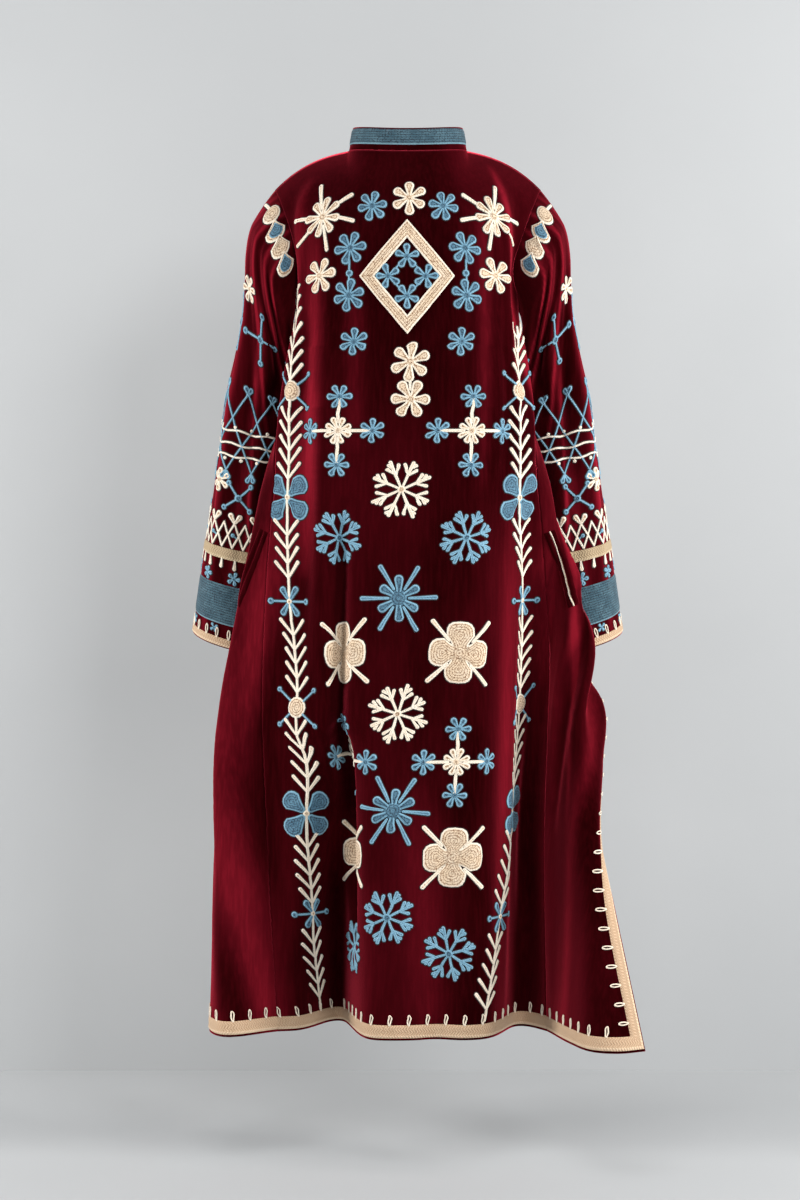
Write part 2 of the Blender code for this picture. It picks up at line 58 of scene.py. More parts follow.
# The coat's sizes, as in the part
HEM = -1.278
UNDERARM = -0.225
NECK_HALF = 0.087
NECK_BACK = 0.065
NECK_RISE = 0.004
NECK_SIDE = 0.011
SLOPE = 0.022
SHOULDER = (0.197, -0.006, -0.046)
FRONT_NECK = (0.056, -0.092, -0.078)
COLLAR_TALL = 0.033
CUFF_BRAID = 0.014
BAND_TALL = 0.060
BAND_UP = 0.035
STRAW_UP = 0.134
STRAW_TALL = 0.017
ROUND = 2.25  # the power of the worn section's superellipse
CLOSE_FIT = -0.34  # the level down to which the back fits closely
LOOSEN = 0.20  # the height over which it comes to hang freely
FLAT_BACK = 2.5  # how flat the freely hanging back is
BLEND = 0.09  # the share of a sleeve over which it leaves the armhole
SOFTEN = 0.008  # the width of the bell curve that rounds a section's turns
SCOOP = 0.21  # the share of a panel's width that the armhole takes
SCOOP_RISE = 0.42
NECK_SHARE = 0.47  # the neck's share of a panel's top edge

# Sizes of the finer surface
CLOTH = 0.0022  # the wall, from nap to reverse
BACK_COLUMNS = 150
FRONT_COLUMNS = 74
LOWER_ROWS = 236
UPPER_ROWS = 60
SLEEVE_ROWS = 150
BRAID_WIDE = 0.019
BRAID_THICK = 0.0017
BRAID_UP = 0.0032  # the velvet edge that shows under the hem's braid
EDGE_LEFT = 0.0015  # the velvet edge that shows beside a front's braid and under a cuff's
LOOP_TALL = 0.0150
LOOP_HALF = 0.0023
LOOP_EVERY = 0.0275
LOOP_FOOT = 0.001  # how far a loop's foot reaches over its braid
YARN = 0.0010  # half the thickness of a loop's yarn
STITCH_TALL = 0.0016  # how far a petal's stitching stands up
FULL_HALF = 0.003  # half the width at which it is as tall as that
UNDER_YARN = 0.00018  # how far off the nap its edge lies
# HALO is the width of the ring round a motif, which the stitch material paints near black as painted shade
HALO = 0.0014  # the pile pressed down around a motif
LIFT = 0.00015  # how much higher the middle of a flower is than its petals
TUCK = 0.0030  # how far the collar's foot reaches down inside the neck seam
MIDDLE = 0.0045  # the middle of a flower counts as lying this far in from its edge
FOLD_START = 0.16  # the share of a fold's height over which it opens
FOLD_HOLD = 8  # the power by which the folds die out at the side seams
EDGE_TURN = 14  # the power by which only the last rows take the top edge's own turns
CREASE_END = 12  # the rows below the top edge over which the creases die out
CREASE_FADE = 0.7  # the power by which a crease fades to its ends
SLEEVE_DEEP = 0.06  # a sleeve's half depth, to which its creases are measured
GROOVE = 0.0007  # how far a sewn seam draws the velvet in
CUFF_DIP = 0.012  # how much lower a cuff hangs behind than at its sides
ON_CLOTH = 0.0002  # how far off the nap the lozenge lies
ROW_WIDE = 0.0038  # a row of chain stitch
LINK_LONG = 0.0044  # a link of chain stitch
PLAIT_WIDE = 0.0044  # half a row of the plait
STRAND_LONG = 0.0040  # from one strand of the plait to the next
YARN_ROW = 0.0018  # how far in the yarn of a loop counts as lying
YARN_STEP = 0.0016  # how far along each ring of a loop counts as lying from the one before
RING_COLUMNS = 150  # how many columns a strip round a sleeve has
CUFF_LOOPS = 21

# The back below the underarm, a row for each level: the side seams, the middle line and how far back it hangs
BACK_NAMES = ("level", "left", "left_y", "right", "right_y", "middle", "back")
BACK = (
    (-0.225, 0.166, 0.004, -0.164, 0.004, 0.000, 0.118),
    (-0.320, 0.176, 0.034, -0.172, 0.032, 0.002, 0.124),
    (-0.450, 0.192, 0.054, -0.188, 0.050, 0.006, 0.128),
    (-0.600, 0.204, 0.066, -0.200, 0.040, 0.012, 0.133),
    (-0.800, 0.212, 0.080, -0.206, 0.024, 0.016, 0.142),
    (-1.000, 0.205, 0.092, -0.205, 0.036, 0.026, 0.156),
    (-1.278, 0.190, 0.104, -0.203, 0.104, 0.036, 0.175),
)

# Each front below the underarm, a row for each level: a ridge, two turns and the free edge
FRONT_NAMES = ("level", "ridge", "ridge_y", "turn", "turn_y", "bend", "bend_y", "edge", "edge_y")
FRONT_LEFT = (
    (-0.225, 0.160, -0.028, 0.145, -0.068, 0.106, -0.108, 0.055, -0.122),
    (-0.320, 0.164, -0.006, 0.145, -0.056, 0.108, -0.110, 0.060, -0.134),
    (-0.450, 0.208, 0.018, 0.168, -0.036, 0.130, -0.090, 0.086, -0.128),
    (-0.600, 0.243, 0.048, 0.206, -0.002, 0.170, -0.050, 0.132, -0.100),
    (-0.700, 0.257, 0.062, 0.234, 0.010, 0.196, -0.026, 0.176, -0.075),
    (-0.800, 0.269, 0.074, 0.264, 0.016, 0.240, -0.036, 0.205, -0.085),
    (-0.900, 0.277, 0.088, 0.280, 0.030, 0.262, -0.032, 0.225, -0.085),
    (-1.100, 0.276, 0.118, 0.287, 0.062, 0.276, -0.006, 0.246, -0.075),
    (-1.278, 0.262, 0.150, 0.288, 0.110, 0.284, 0.030, 0.256, -0.058),
)
FRONT_RIGHT = (
    (-0.225, -0.158, -0.028, -0.143, -0.068, -0.106, -0.108, -0.055, -0.122),
    (-0.320, -0.160, -0.006, -0.143, -0.056, -0.108, -0.110, -0.062, -0.134),
    (-0.450, -0.203, 0.016, -0.168, -0.038, -0.130, -0.090, -0.088, -0.128),
    (-0.600, -0.245, 0.046, -0.216, 0.002, -0.172, -0.048, -0.136, -0.094),
    (-0.700, -0.272, 0.058, -0.250, 0.012, -0.208, -0.016, -0.190, -0.052),
    (-0.800, -0.258, 0.086, -0.264, 0.052, -0.288, 0.040, -0.278, 0.004),
    (-0.890, -0.254, 0.106, -0.270, 0.098, -0.286, 0.078, -0.280, 0.044),
    (-0.980, -0.244, 0.130, -0.264, 0.142, -0.277, 0.134, -0.276, 0.104),
    (-1.080, -0.240, 0.152, -0.260, 0.182, -0.278, 0.188, -0.294, 0.170),
    (-1.278, -0.231, 0.200, -0.258, 0.258, -0.296, 0.268, -0.333, 0.250),
)

# The back's folds: where each starts, where it lies there and at the hem, how deep it is at the hem,
# how wide its two flanks are, and how fast it grows
FOLD_NAMES = ("start", "upper", "lower", "deep", "flank_left", "flank_right", "growth")
FOLDS = (
    (-0.800, 0.095, 0.100, 0.150, 0.050, 0.026, 0.80),
    (-0.420, -0.176, -0.163, 0.085, 0.030, 0.046, 0.85),
    (-0.720, -0.060, -0.040, 0.012, 0.024, 0.024, 1.00),
)

# The left sleeve, a row for each section: its outer and inner ends, its middle's y and half its depth
SLEEVE_NAMES = ("station", "outer", "outer_z", "inner", "inner_z", "middle_y", "half_deep")
SLEEVE = (
    (0.00, 0.202, -0.052, 0.172, -0.232, 0.002, 0.066),
    (0.09, 0.236, -0.091, 0.171, -0.250, -0.008, 0.066),
    (0.28, 0.257, -0.232, 0.162, -0.312, -0.032, 0.060),
    (0.50, 0.281, -0.384, 0.168, -0.408, -0.050, 0.058),
    (0.75, 0.303, -0.545, 0.186, -0.565, -0.076, 0.058),
    (1.00, 0.327, -0.703, 0.196, -0.734, -0.104, 0.060),
)

# The sleeves' long creases: how far round each starts, from and to what share of the sleeve's length it runs,
# how far round it turns, how deep it is and how wide
SLEEVE_LINE_NAMES = ("round", "from", "to", "turn", "amount", "wide")
SLEEVE_CREASES = (
    (0.14, 0.06, 0.62, 0.10, 0.011, 0.050),
    (0.30, 0.10, 0.95, -0.06, 0.009, 0.045),
    (0.47, 0.16, 0.80, 0.05, 0.007, 0.050),
    (0.66, 0.08, 0.70, 0.05, 0.009, 0.055),
    (0.84, 0.12, 0.90, -0.05, 0.009, 0.050),
    (0.00, 0.00, 0.34, 0.00, -0.0034, 0.060),
    (0.00, 0.16, 0.60, 0.00, -0.0020, 0.070),
    (0.08, 0.22, 0.76, 0.02, 0.0036, 0.055),
    (0.50, 0.01, 0.44, 0.00, 0.0120, 0.140),
    (0.38, 0.00, 0.42, -0.26, 0.0085, 0.020),
    (0.31, 0.00, 0.36, -0.22, 0.0075, 0.017),
    (0.42, 0.02, 0.60, -0.18, 0.0050, 0.022),
    (0.40, 0.04, 0.98, -0.02, -0.0050, 0.022),
    (0.22, 0.22, 0.98, 0.02, -0.0040, 0.024),
    (0.56, 0.04, 0.90, 0.03, -0.0050, 0.030),
    (0.76, 0.04, 0.90, 0.02, -0.0050, 0.030),
)

# Soft creases of the panels: from and to how far across from the centre back and at what level, height, width
LINE_NAMES = ("across", "level", "to_across", "to_level", "amount", "wide")
CREASES = (
    (0.118, -0.200, 0.122, -0.760, 0.0040, 0.012),
    (0.150, -0.220, 0.152, -0.820, -0.0085, 0.021),
    (0.100, -0.050, 0.112, -0.210, 0.0030, 0.013),
    (0.168, -0.040, 0.184, -0.420, 0.0055, 0.010),
    (0.060, -0.130, 0.066, -0.520, -0.0020, 0.022),
    (0.084, -0.500, 0.090, -1.160, -0.0300, 0.0125),
    (0.100, -0.560, 0.108, -0.980, 0.0050, 0.0140),
    (-0.104, -0.160, -0.110, -0.420, 0.0030, 0.020),
    (-0.148, -0.040, -0.176, -0.470, 0.0065, 0.0085),
    (-0.172, -0.050, -0.200, -0.440, -0.0070, 0.0110),
    (-0.118, -0.050, -0.150, -0.200, 0.0030, 0.009),
    (-0.150, -0.330, -0.150, -0.900, -0.0040, 0.022),
    (-0.196, -0.430, -0.206, -1.270, 0.0065, 0.018),
    (-0.270, -0.480, -0.274, -1.150, -0.0120, 0.0130),
    (-0.060, -0.380, -0.075, -0.900, -0.0020, 0.026),
    (0.010, -0.480, 0.030, -1.150, 0.0025, 0.028),
    (-0.110, -0.820, -0.120, -1.270, 0.0050, 0.018),
    (0.205, -0.480, 0.215, -0.900, 0.0055, 0.018),
    (0.164, -0.240, 0.164, -0.480, -0.0080, 0.0130),
    (0.209, -0.250, 0.209, -0.480, 0.0080, 0.0145),
    (-0.159, -0.240, -0.159, -0.480, -0.0060, 0.0130),
    (-0.205, -0.250, -0.205, -0.480, 0.0100, 0.0145),
    (0.240, -0.500, 0.235, -1.270, -0.0060, 0.024),
    (0.280, -0.560, 0.275, -1.270, 0.0050, 0.022),
    (0.150, -0.030, 0.176, -0.120, 0.0025, 0.008),
    (0.330, -0.560, 0.340, -1.200, -0.0045, 0.024),
    (-0.302, -0.430, -0.308, -0.900, 0.0070, 0.0110),
    (-0.325, -0.480, -0.330, -1.000, -0.0070, 0.0140),
    (-0.355, -0.520, -0.360, -0.900, 0.0060, 0.0100),
    (-0.300, -0.880, -0.340, -1.270, 0.0040, 0.020),
    (0.380, -0.300, 0.400, -0.800, 0.0030, 0.020),
    (-0.380, -0.260, -0.400, -0.480, 0.0030, 0.018),
)

# Painted sheen: bands where the velvet is painted lighter along its folds in place of highlights, in the
# creases' columns: the amount is how much lighter it is there
PAINTED_SHEEN_BANDS = (
    (0.146, -0.090, 0.150, -0.620, 0.85, 0.0150),
    (0.152, -0.330, 0.262, -0.900, 0.62, 0.0260),
    (0.236, -0.600, 0.335, -1.500, 0.46, 0.0330),
    (0.085, -0.100, 0.072, -0.440, 0.20, 0.0140),
    (0.160, -0.030, 0.192, -0.300, 0.50, 0.0100),
    (-0.138, -0.010, -0.232, -0.450, 1.40, 0.0060),
    (-0.112, -0.060, -0.116, -0.500, 0.32, 0.0110),
    (-0.182, -0.430, -0.188, -1.500, 0.48, 0.0190),
    (-0.250, -0.420, -0.384, -1.000, 0.90, 0.0060),
    (-0.236, -0.440, -0.372, -1.350, 0.55, 0.0240),
    (-0.300, -0.700, -0.330, -1.450, 0.30, 0.0150),
    (-0.398, -0.700, -0.390, -1.400, 0.35, 0.0140),
    (0.300, -0.400, 0.310, -1.400, 0.38, 0.0220),
    (0.384, -0.200, 0.400, -1.400, 0.35, 0.0200),
    (0.460, -0.300, 0.480, -1.400, 0.30, 0.0180),
    (-0.030, -0.900, -0.090, -1.420, 0.22, 0.0300),
    (0.030, -1.050, 0.040, -1.400, 0.18, 0.0220),
)
# The sleeves' painted sheen: lighter lines painted along their creases in place of highlights, in the sleeve
# creases' columns
SLEEVE_PAINTED_SHEEN = (
    (0.44, -0.04, 0.90, -0.05, 1.30, 0.0075),
    (0.47, -0.10, 0.66, 0.00, 0.90, 0.0070),
    (0.42, -0.06, 0.56, -0.24, 1.40, 0.0080),
    (0.35, -0.04, 0.44, -0.26, 1.30, 0.0075),
    (0.28, 0.00, 0.38, -0.21, 1.20, 0.0070),
    (0.30, 0.30, 1.00, -0.10, 0.90, 0.0080),
    (0.27, -0.05, 1.10, 0.02, 0.45, 0.0200),
    (0.40, 0.02, 1.20, -0.02, 0.70, 0.016),
    (0.12, 0.10, 1.10, 0.03, 0.40, 0.024),
    (0.56, -0.10, 1.10, 0.03, 0.45, 0.030),
    (0.76, -0.10, 1.10, 0.02, 0.45, 0.030),
    (0.90, 0.10, 1.10, 0.02, 0.35, 0.020),
)

# The motifs on the back: kind, how far across and down, size, turn in turns, yarn, and whether it has a twin
MOTIF_NAMES = ("kind", "across", "down", "size", "turn", "yarn", "pair")
MOTIFS = (
    ("flower", -0.002, 0.080, 0.026, 0.25, "cream", False),
    ("flower", 0.052, 0.094, 0.023, 0.04, "blue", True),
    ("burst", 0.129, 0.102, 0.030, 0.02, "cream", True),
    ("flower", 0.084, 0.156, 0.024, 0.02, "blue", True),
    ("dot", 0.085, 0.192, 0.005, 0.00, "blue", True),
    ("flower", 0.086, 0.223, 0.024, 0.05, "blue", True),
    ("flower", 0.134, 0.191, 0.028, 0.01, "cream", True),
    ("flower", 0.078, 0.290, 0.021, 0.25, "blue", True),
    ("flower", -0.006, 0.320, 0.029, 0.23, "cream", False),
    ("flower", -0.006, 0.374, 0.029, 0.00, "cream", False),
    ("cross", 0.097, 0.420, 0.050, 0.00, "cream", True),
    ("frost", 0.002, 0.506, 0.045, 0.00, "cream", False),
    ("frost", 0.0955, 0.576, 0.041, 0.01, "blue", True),
    ("star", 0.000, 0.664, 0.033, 0.25, "blue", False),
    ("clover", 0.089, 0.743, 0.044, 0.01, "cream", True),
    ("frost", -0.002, 0.831, 0.044, 0.01, "cream", False),
    ("cross", 0.090, 0.901, 0.048, 0.00, "cream", True),
    ("star", -0.002, 0.971, 0.033, 0.24, "blue", False),
    ("clover", 0.0925, 1.039, 0.044, 0.00, "cream", True),
    ("frost", 0.000, 1.125, 0.041, 0.01, "blue", False),
    ("frost", 0.092, 1.178, 0.041, 0.02, "blue", True),
)

# The two vines: how far across each stem lies, a row for each distance down, and what breaks its leaves
VINE_NAMES = ("down", "left", "right")
VINE_COURSE = (
    (0.180, 0.196, 0.206),
    (0.270, 0.190, 0.200),
    (0.360, 0.187, 0.182),
    (0.520, 0.188, 0.188),
    (0.670, 0.195, 0.219),
    (0.820, 0.183, 0.235),
    (0.980, 0.195, 0.228),
    (1.130, 0.199, 0.186),
    (1.270, 0.210, 0.150),
)
VINE_TOP = {1: 0.200, -1: 0.262}
VINE_BREAKS = (
    ("roundel", 0.360, 0.024),
    ("rosette", 0.517, 0.034),
    ("sprig", 0.670, 0.024),
    ("roundel", 0.824, 0.024),
    ("rosette", 0.980, 0.034),
    ("sprig", 1.130, 0.024),
)
LEAF_EVERY = 0.0208
LEAF_LONG = 0.0315
LEAF_TURN = math.radians(38)  # away from the stem
STEM_STEP = 0.026  # from one stitched length of a stem to the next

# The lozenge between the shoulders: its middle, half its width and height, and how wide its bands are
LOZENGE = {"centre": (0.001, 0.196), "wide": 0.0695, "high": 0.0835, "band": 0.0175}
RING_WIDE = 0.027  # how far across from its middle its five-petalled flowers lie
RING_HIGH = 0.0285  # how far above and below it

# The sleeve's chain of discs below the shoulder: how far out and up each lies, with its yarn
CHAIN = ((0.070, 0.609, "cream"), (0.040, 0.610, "blue"), (0.013, 0.611, "cream"), (-0.013, 0.611, "blue"))

# The pocket's slit: how far across and down from the side seam it starts and ends, and its two lips
POCKET = ((0.012, 0.536), (0.051, 0.646))
LIPS = ((-0.0098, -0.0010), (0.0010, 0.0098))
LIP_OPEN = 0.0034  # how far the open slit's lips stand up
LIP_SHUT = 0.0014
PIPING_HALF = 0.0014
PIPING_TALL = 0.0036
SEAM_GAP = 0.0003

# The cut of each piece of cloth: its width and length laid flat, and its area
SHEET_NAMES = ("node", "width", "length", "area", "hangs_from")
SHEETS = (
    ("collar", 0.42, 0.034, 0.0138, ()),
    ("back", 0.63, 1.35, 0.650, ("collar",)),
    ("front_left", 0.31, 1.36, 0.295, ("collar", "back")),
    ("front_right", 0.27, 1.41, 0.255, ("collar", "back")),
    ("sleeve_left", 0.48, 0.68, 0.227, ("back", "front_left")),
    ("sleeve_right", 0.48, 0.68, 0.227, ("back", "front_right")),
)

FLOOR = -1.46
WALL = -0.50
CAMERA_PLACE = (0.0117, 4.1, -0.512)
CAMERA_DIP = 1.97  # how many degrees below level it looks
CAMERA_LENS = 82.8
SKY = (0.90, 0.95, 1.0, 1.0)
SKY_LIGHT = 0.22

# The lights: where each stands, what it is turned to, its size, power and colour
LIGHT_NAMES = ("name", "place", "aim", "size", "power", "colour")
LIGHTS = (
    ("left_softbox", (2.3, 0.75, -0.3), (0.1, 0.0, -0.6), 0.8, 58, (1.0, 0.98, 0.96)),
    ("right_softbox", (-2.3, 0.85, -0.1), (-0.1, 0.0, -0.6), 0.8, 66, (1.0, 0.98, 0.96)),
    ("front_softbox", (-2.0, 3.6, 1.2), (0.0, 0.0, -0.6), 1.3, 78, (1.0, 1.0, 1.0)),
    ("top_softbox", (0.3, 1.2, 2.7), (0.0, -0.1, -0.4), 1.5, 26, (1.0, 1.0, 1.0)),
)


# Shapes of the cloth


def hermite(xs, ys, x):
    """A smooth curve through (xs, ys), read at x."""
    xs, ys = np.asarray(xs, float), np.asarray(ys, float)
    order = np.argsort(xs)
    xs, ys = xs[order], ys[order]
    slope = np.gradient(ys, xs)
    i = np.clip(np.searchsorted(xs, x) - 1, 0, len(xs) - 2)
    h = xs[i + 1] - xs[i]
    t = np.clip((x - xs[i]) / h, 0, 1)
    start = (2 * t**3 - 3 * t**2 + 1) * ys[i] + (t**3 - 2 * t**2 + t) * h * slope[i]
    return start + (3 * t**2 - 2 * t**3) * ys[i + 1] + (t**3 - t**2) * h * slope[i + 1]


def read(table, names, level):
    """Every column of a table at a level, by name."""
    rows = np.array(table)
    return {n: float(hermite(rows[:, 0], rows[:, k], level)) for k, n in enumerate(names)}


def ease(x):
    """0 to 1 with soft ends: 3 x squared less 2 x cubed."""
    x = np.clip(x, 0, 1)
    return x * x * (3 - 2 * x)


def summed(steps):
    """Running totals of steps along the last axis, from 0."""
    return np.concatenate([np.zeros((*steps.shape[:-1], 1)), np.cumsum(steps, axis=-1)], axis=-1)


def lengths(line):
    """How far along a line each of its points lies."""
    return summed(np.linalg.norm(np.diff(line, axis=0), axis=1))


def resample(line, shares):
    """Points at the given shares of a line's length."""
    along = lengths(line)
    return np.stack([np.interp(np.asarray(shares) * along[-1], along, c) for c in line.T], axis=1)


def back_line(level):
    """The back's section at a level, from the right side seam to the left, less its folds' bell curves."""
    at = read(BACK, BACK_NAMES, level)
    a = np.linspace(-1, 1, 401)
    left = a > 0
    half = np.where(left, at["left"], -at["right"])
    seam = np.where(left, at["left_y"], at["right_y"])
    hang = ease((CLOSE_FIT - level) / LOOSEN)
    s, c = np.sin(a * math.pi / 2), np.cos(a * math.pi / 2)
    worn = np.sign(s) * np.abs(s) ** (2 / ROUND)
    x = half * (worn + (a - worn) * hang)
    fall = np.abs(c) ** (2 / ROUND)
    y = seam + (at["back"] - seam) * (fall + (1 - ease(np.abs(a) ** FLAT_BACK) - fall) * hang)
    for row in FOLDS:
        fold = dict(zip(FOLD_NAMES, row))
        down = np.clip((fold["start"] - level) / (fold["start"] - HEM), 0, 1)
        place = fold["upper"] + (fold["lower"] - fold["upper"]) * down
        flank = np.where(x > place, fold["flank_left"], fold["flank_right"])
        depth = fold["deep"] * down ** fold["growth"] * ease(down / FOLD_START)
        depth = depth * (1 - np.abs(a) ** FOLD_HOLD)
        y = y - depth * np.exp(-(((x - place) / flank) ** 2))
    return np.stack([x, y], axis=1)


def front_line(level, side):
    """A front's section at a level, from its side seam to its free edge."""
    at = read(FRONT_LEFT if side > 0 else FRONT_RIGHT, FRONT_NAMES, level)
    seam = read(BACK, BACK_NAMES, level)
    start = (seam["left"], seam["left_y"]) if side > 0 else (seam["right"], seam["right_y"])
    turns = np.array([start] + [(at[n], at[n + "_y"]) for n in ("ridge", "turn", "bend", "edge")])
    steps = summed(np.sqrt(np.linalg.norm(np.diff(turns, axis=0), axis=1)))
    fine = np.linspace(0, steps[-1], 201)
    return np.stack([hermite(steps, turns[:, 0], fine), hermite(steps, turns[:, 1], fine)], axis=1)


def section(level):
    """The whole section at a level in four stretches, each from a middle or a seam outward.

    Each point is the mean of those near it, weighed by a bell curve, so that no turn is sharp.
    """
    back = back_line(level)
    lines = [front_line(level, -1)[:0:-1], back, front_line(level, 1)[1:]]
    line = np.concatenate(lines)
    along = lengths(line)
    middle = np.argmin(np.abs(back[:, 0] - read(BACK, BACK_NAMES, level)["middle"]))
    marks = np.array([len(lines[0]), len(lines[0]) + middle, len(line) - len(lines[2]) - 1])
    even = np.linspace(0, along[-1], 1001)
    marks = np.searchsorted(even, along[marks])
    line = np.stack([np.interp(even, along, line[:, k]) for k in (0, 1)], axis=1)
    reach = int(3 * SOFTEN / even[1])
    weight = np.exp(-0.5 * (np.arange(-reach, reach + 1) * even[1] / SOFTEN) ** 2)
    before, after = 2 * line[0] - line[reach:0:-1], 2 * line[-1] - line[-2 : -reach - 2 : -1]
    padded = np.concatenate([before, line, after])
    line = np.stack([np.convolve(padded[:, k], weight / weight.sum(), "valid") for k in (0, 1)], axis=1)
    right, middle, left = marks
    return line[right::-1], line[middle : right - 1 : -1], line[middle : left + 1], line[left:]


def shoulder_seam(share, side):
    """The shoulder seam from the neck, 0, to the armhole, 1."""
    share = np.clip(share, 0, 1)
    x = NECK_HALF + (SHOULDER[0] - NECK_HALF) * share
    z = NECK_SIDE - SLOPE * share + (SHOULDER[2] - NECK_SIDE + SLOPE) * share**2.6
    return np.stack([side * x, SHOULDER[1] * share, z], axis=-1)


def back_neck(turn, side):
    """The neck seam behind, from the middle, 0, round to the shoulder, a quarter turn."""
    rise = NECK_RISE + (NECK_SIDE - NECK_RISE) * np.sin(turn) ** 2
    return np.stack([side * NECK_HALF * np.sin(turn), NECK_BACK * np.cos(turn), rise], axis=-1)


def back_top(share):
    """The back's top edge, share from -1 to 1: neck seam in the middle, shoulder seams outside it."""
    neck = np.clip(np.abs(share) / NECK_SHARE, 0, 1) * math.pi / 2
    side = np.where(share < 0, -1.0, 1.0)
    outer = shoulder_seam((np.abs(share) - NECK_SHARE) / (1 - NECK_SHARE), side)
    return np.where((np.abs(share) > NECK_SHARE)[:, None], outer, back_neck(neck, side))


def front_neck(share, side):
    """A front's neck seam from the shoulder, 0, to its top corner, 1."""
    share = np.clip(share, 0, 1)
    turn = share * math.pi / 2
    x = FRONT_NECK[0] + (NECK_HALF - FRONT_NECK[0]) * np.clip(np.cos(turn), 0, 1) ** 0.8
    z = NECK_SIDE + (FRONT_NECK[2] - NECK_SIDE) * share**1.25
    return np.stack([side * x, FRONT_NECK[1] * np.sin(turn), z], axis=-1)


def front_top(share, side):
    """A front's top edge, 0 at the armhole and 1 at the top corner."""
    outer = shoulder_seam(1 - share / (1 - NECK_SHARE), side)
    inner = front_neck((share - (1 - NECK_SHARE)) / NECK_SHARE, side)
    return np.where((share < 1 - NECK_SHARE)[:, None], outer, inner)


def soften_edge(top):
    """A top edge whose turns are rounded: each point is the mean of those within a twentieth of it."""
    reach = len(top) // 20
    ends = [2 * top[0] - top[reach:0:-1], top, 2 * top[-1] - top[-2 : -reach - 2 : -1]]
    padded = np.concatenate(ends)
    weight = np.full(2 * reach + 1, 1 / (2 * reach + 1))
    return np.stack([np.convolve(c, weight, "valid") for c in padded.T], axis=1)


def upper_row(base, top, r, fullness):
    """A row a share r of the way from the underarm to a panel's top edge: only the last turns as sharply."""
    soft = soften_edge(soften_edge(top))
    top = soft + (top - soft) * r**EDGE_TURN
    p = np.column_stack([base, np.full(len(base), UNDERARM)])
    p[:, 0] += (top[:, 0] - p[:, 0]) * r**2
    p[:, 1] += (top[:, 1] - p[:, 1]) * r**fullness
    p[:, 2] += (top[:, 2] - p[:, 2]) * r
    return p


def scoop(r):
    """The share of a panel's width that is left beside the armhole, a share r of the way up it."""
    return 1 - SCOOP * math.sin(math.pi / 2 * min(1, r / SCOOP_RISE)) ** 0.8


def grid_normals(grid, closed=False):
    """Unit normals of a grid: the cross product of its steps up and along."""
    up = np.gradient(grid, axis=0)
    if closed:
        along = np.roll(grid, -1, axis=1) - np.roll(grid, 1, axis=1)
    else:
        along = np.gradient(grid, axis=1)
    n = np.cross(up, along)
    return n / np.maximum(np.linalg.norm(n, axis=-1, keepdims=True), 1e-12)


def along_lines(table, across, level):
    """The sum of a table's lines on the cloth, each a bell curve across its line that fades to both ends."""
    total = np.zeros(across.shape)
    for row in table:
        c = dict(zip(LINE_NAMES, row))
        run = np.array([c["to_across"] - c["across"], c["to_level"] - c["level"]])
        long = np.linalg.norm(run)
        run = run / long
        du, dz = across - c["across"], level - c["level"]
        t = (du * run[0] + dz * run[1]) / long
        off = du * run[1] - dz * run[0]
        fade = np.clip(4 * t * (1 - t), 0, 1) ** CREASE_FADE
        total += c["amount"] * fade * np.exp(-((off / c["wide"]) ** 2))
    return total


class Panel:
    """A cut piece of cloth as a grid of points, which can be asked for the point above any place on it.

    Rows run up the cloth and columns across it. The zero of the distance across is its origin column.
    """

    def __init__(self, points, normals, origin, closed=False):
        self.points, self.normals, self.closed = points, normals, closed
        ring = np.concatenate([points, points[:, :1]], axis=1) if closed else points
        faces = np.concatenate([normals, normals[:, :1]], axis=1) if closed else normals
        along = summed(np.linalg.norm(np.diff(ring, axis=1), axis=2))
        self.zero, self.width = along[:, origin], along[:, -1]
        count = 2 * ring.shape[1]
        shares = np.linspace(0, 1, count)
        both = np.concatenate([ring, faces], axis=2)
        self.even = np.array([[np.interp(shares * a[-1], a, c) for c in b.T] for a, b in zip(along, both)])
        self.even = self.even.transpose(0, 2, 1)
        rise = lengths(points[:, origin])
        self.down = rise[-1] - rise
        self.up = rise
        # How much lighter the velvet is painted at each point, as painted sheen
        self.light = np.zeros(points.shape[:2])

    def at_row(self, row, across, off):
        """Points a distance off the cloth at a fractional row and a distance across."""
        row = np.clip(row, 0, len(self.even) - 1.001)
        i = row.astype(int)
        f = (row - i)[..., None]
        zero = self.zero[i] * (1 - f[..., 0]) + self.zero[i + 1] * f[..., 0]
        width = self.width[i] * (1 - f[..., 0]) + self.width[i + 1] * f[..., 0]
        last = self.even.shape[1] - 1
        share = (across + zero) / width
        share = share % 1 if self.closed else np.clip(share, 0, 1)
        k = np.clip(share * last, 0, last - 0.001)
        j = k.astype(int)
        g = (k - j)[..., None]
        low = self.even[i, j] * (1 - g) + self.even[i, j + 1] * g
        high = self.even[i + 1, j] * (1 - g) + self.even[i + 1, j + 1] * g
        p = low * (1 - f) + high * f
        n = p[..., 3:] / np.linalg.norm(p[..., 3:], axis=-1, keepdims=True)
        return p[..., :3] + n * off[..., None]

    def row_down(self, down):
        """The fractional row a distance down the cloth."""
        return np.interp(down, self.down[::-1], np.arange(len(self.down))[::-1])

    def row_up(self, up):
        """The fractional row a distance up from the cloth's lowest edge."""
        return np.interp(up, self.up, np.arange(len(self.up)))

    def width_at(self, row):
        """How wide the cloth is at a fractional row."""
        return np.interp(row, np.arange(len(self.width)), self.width)


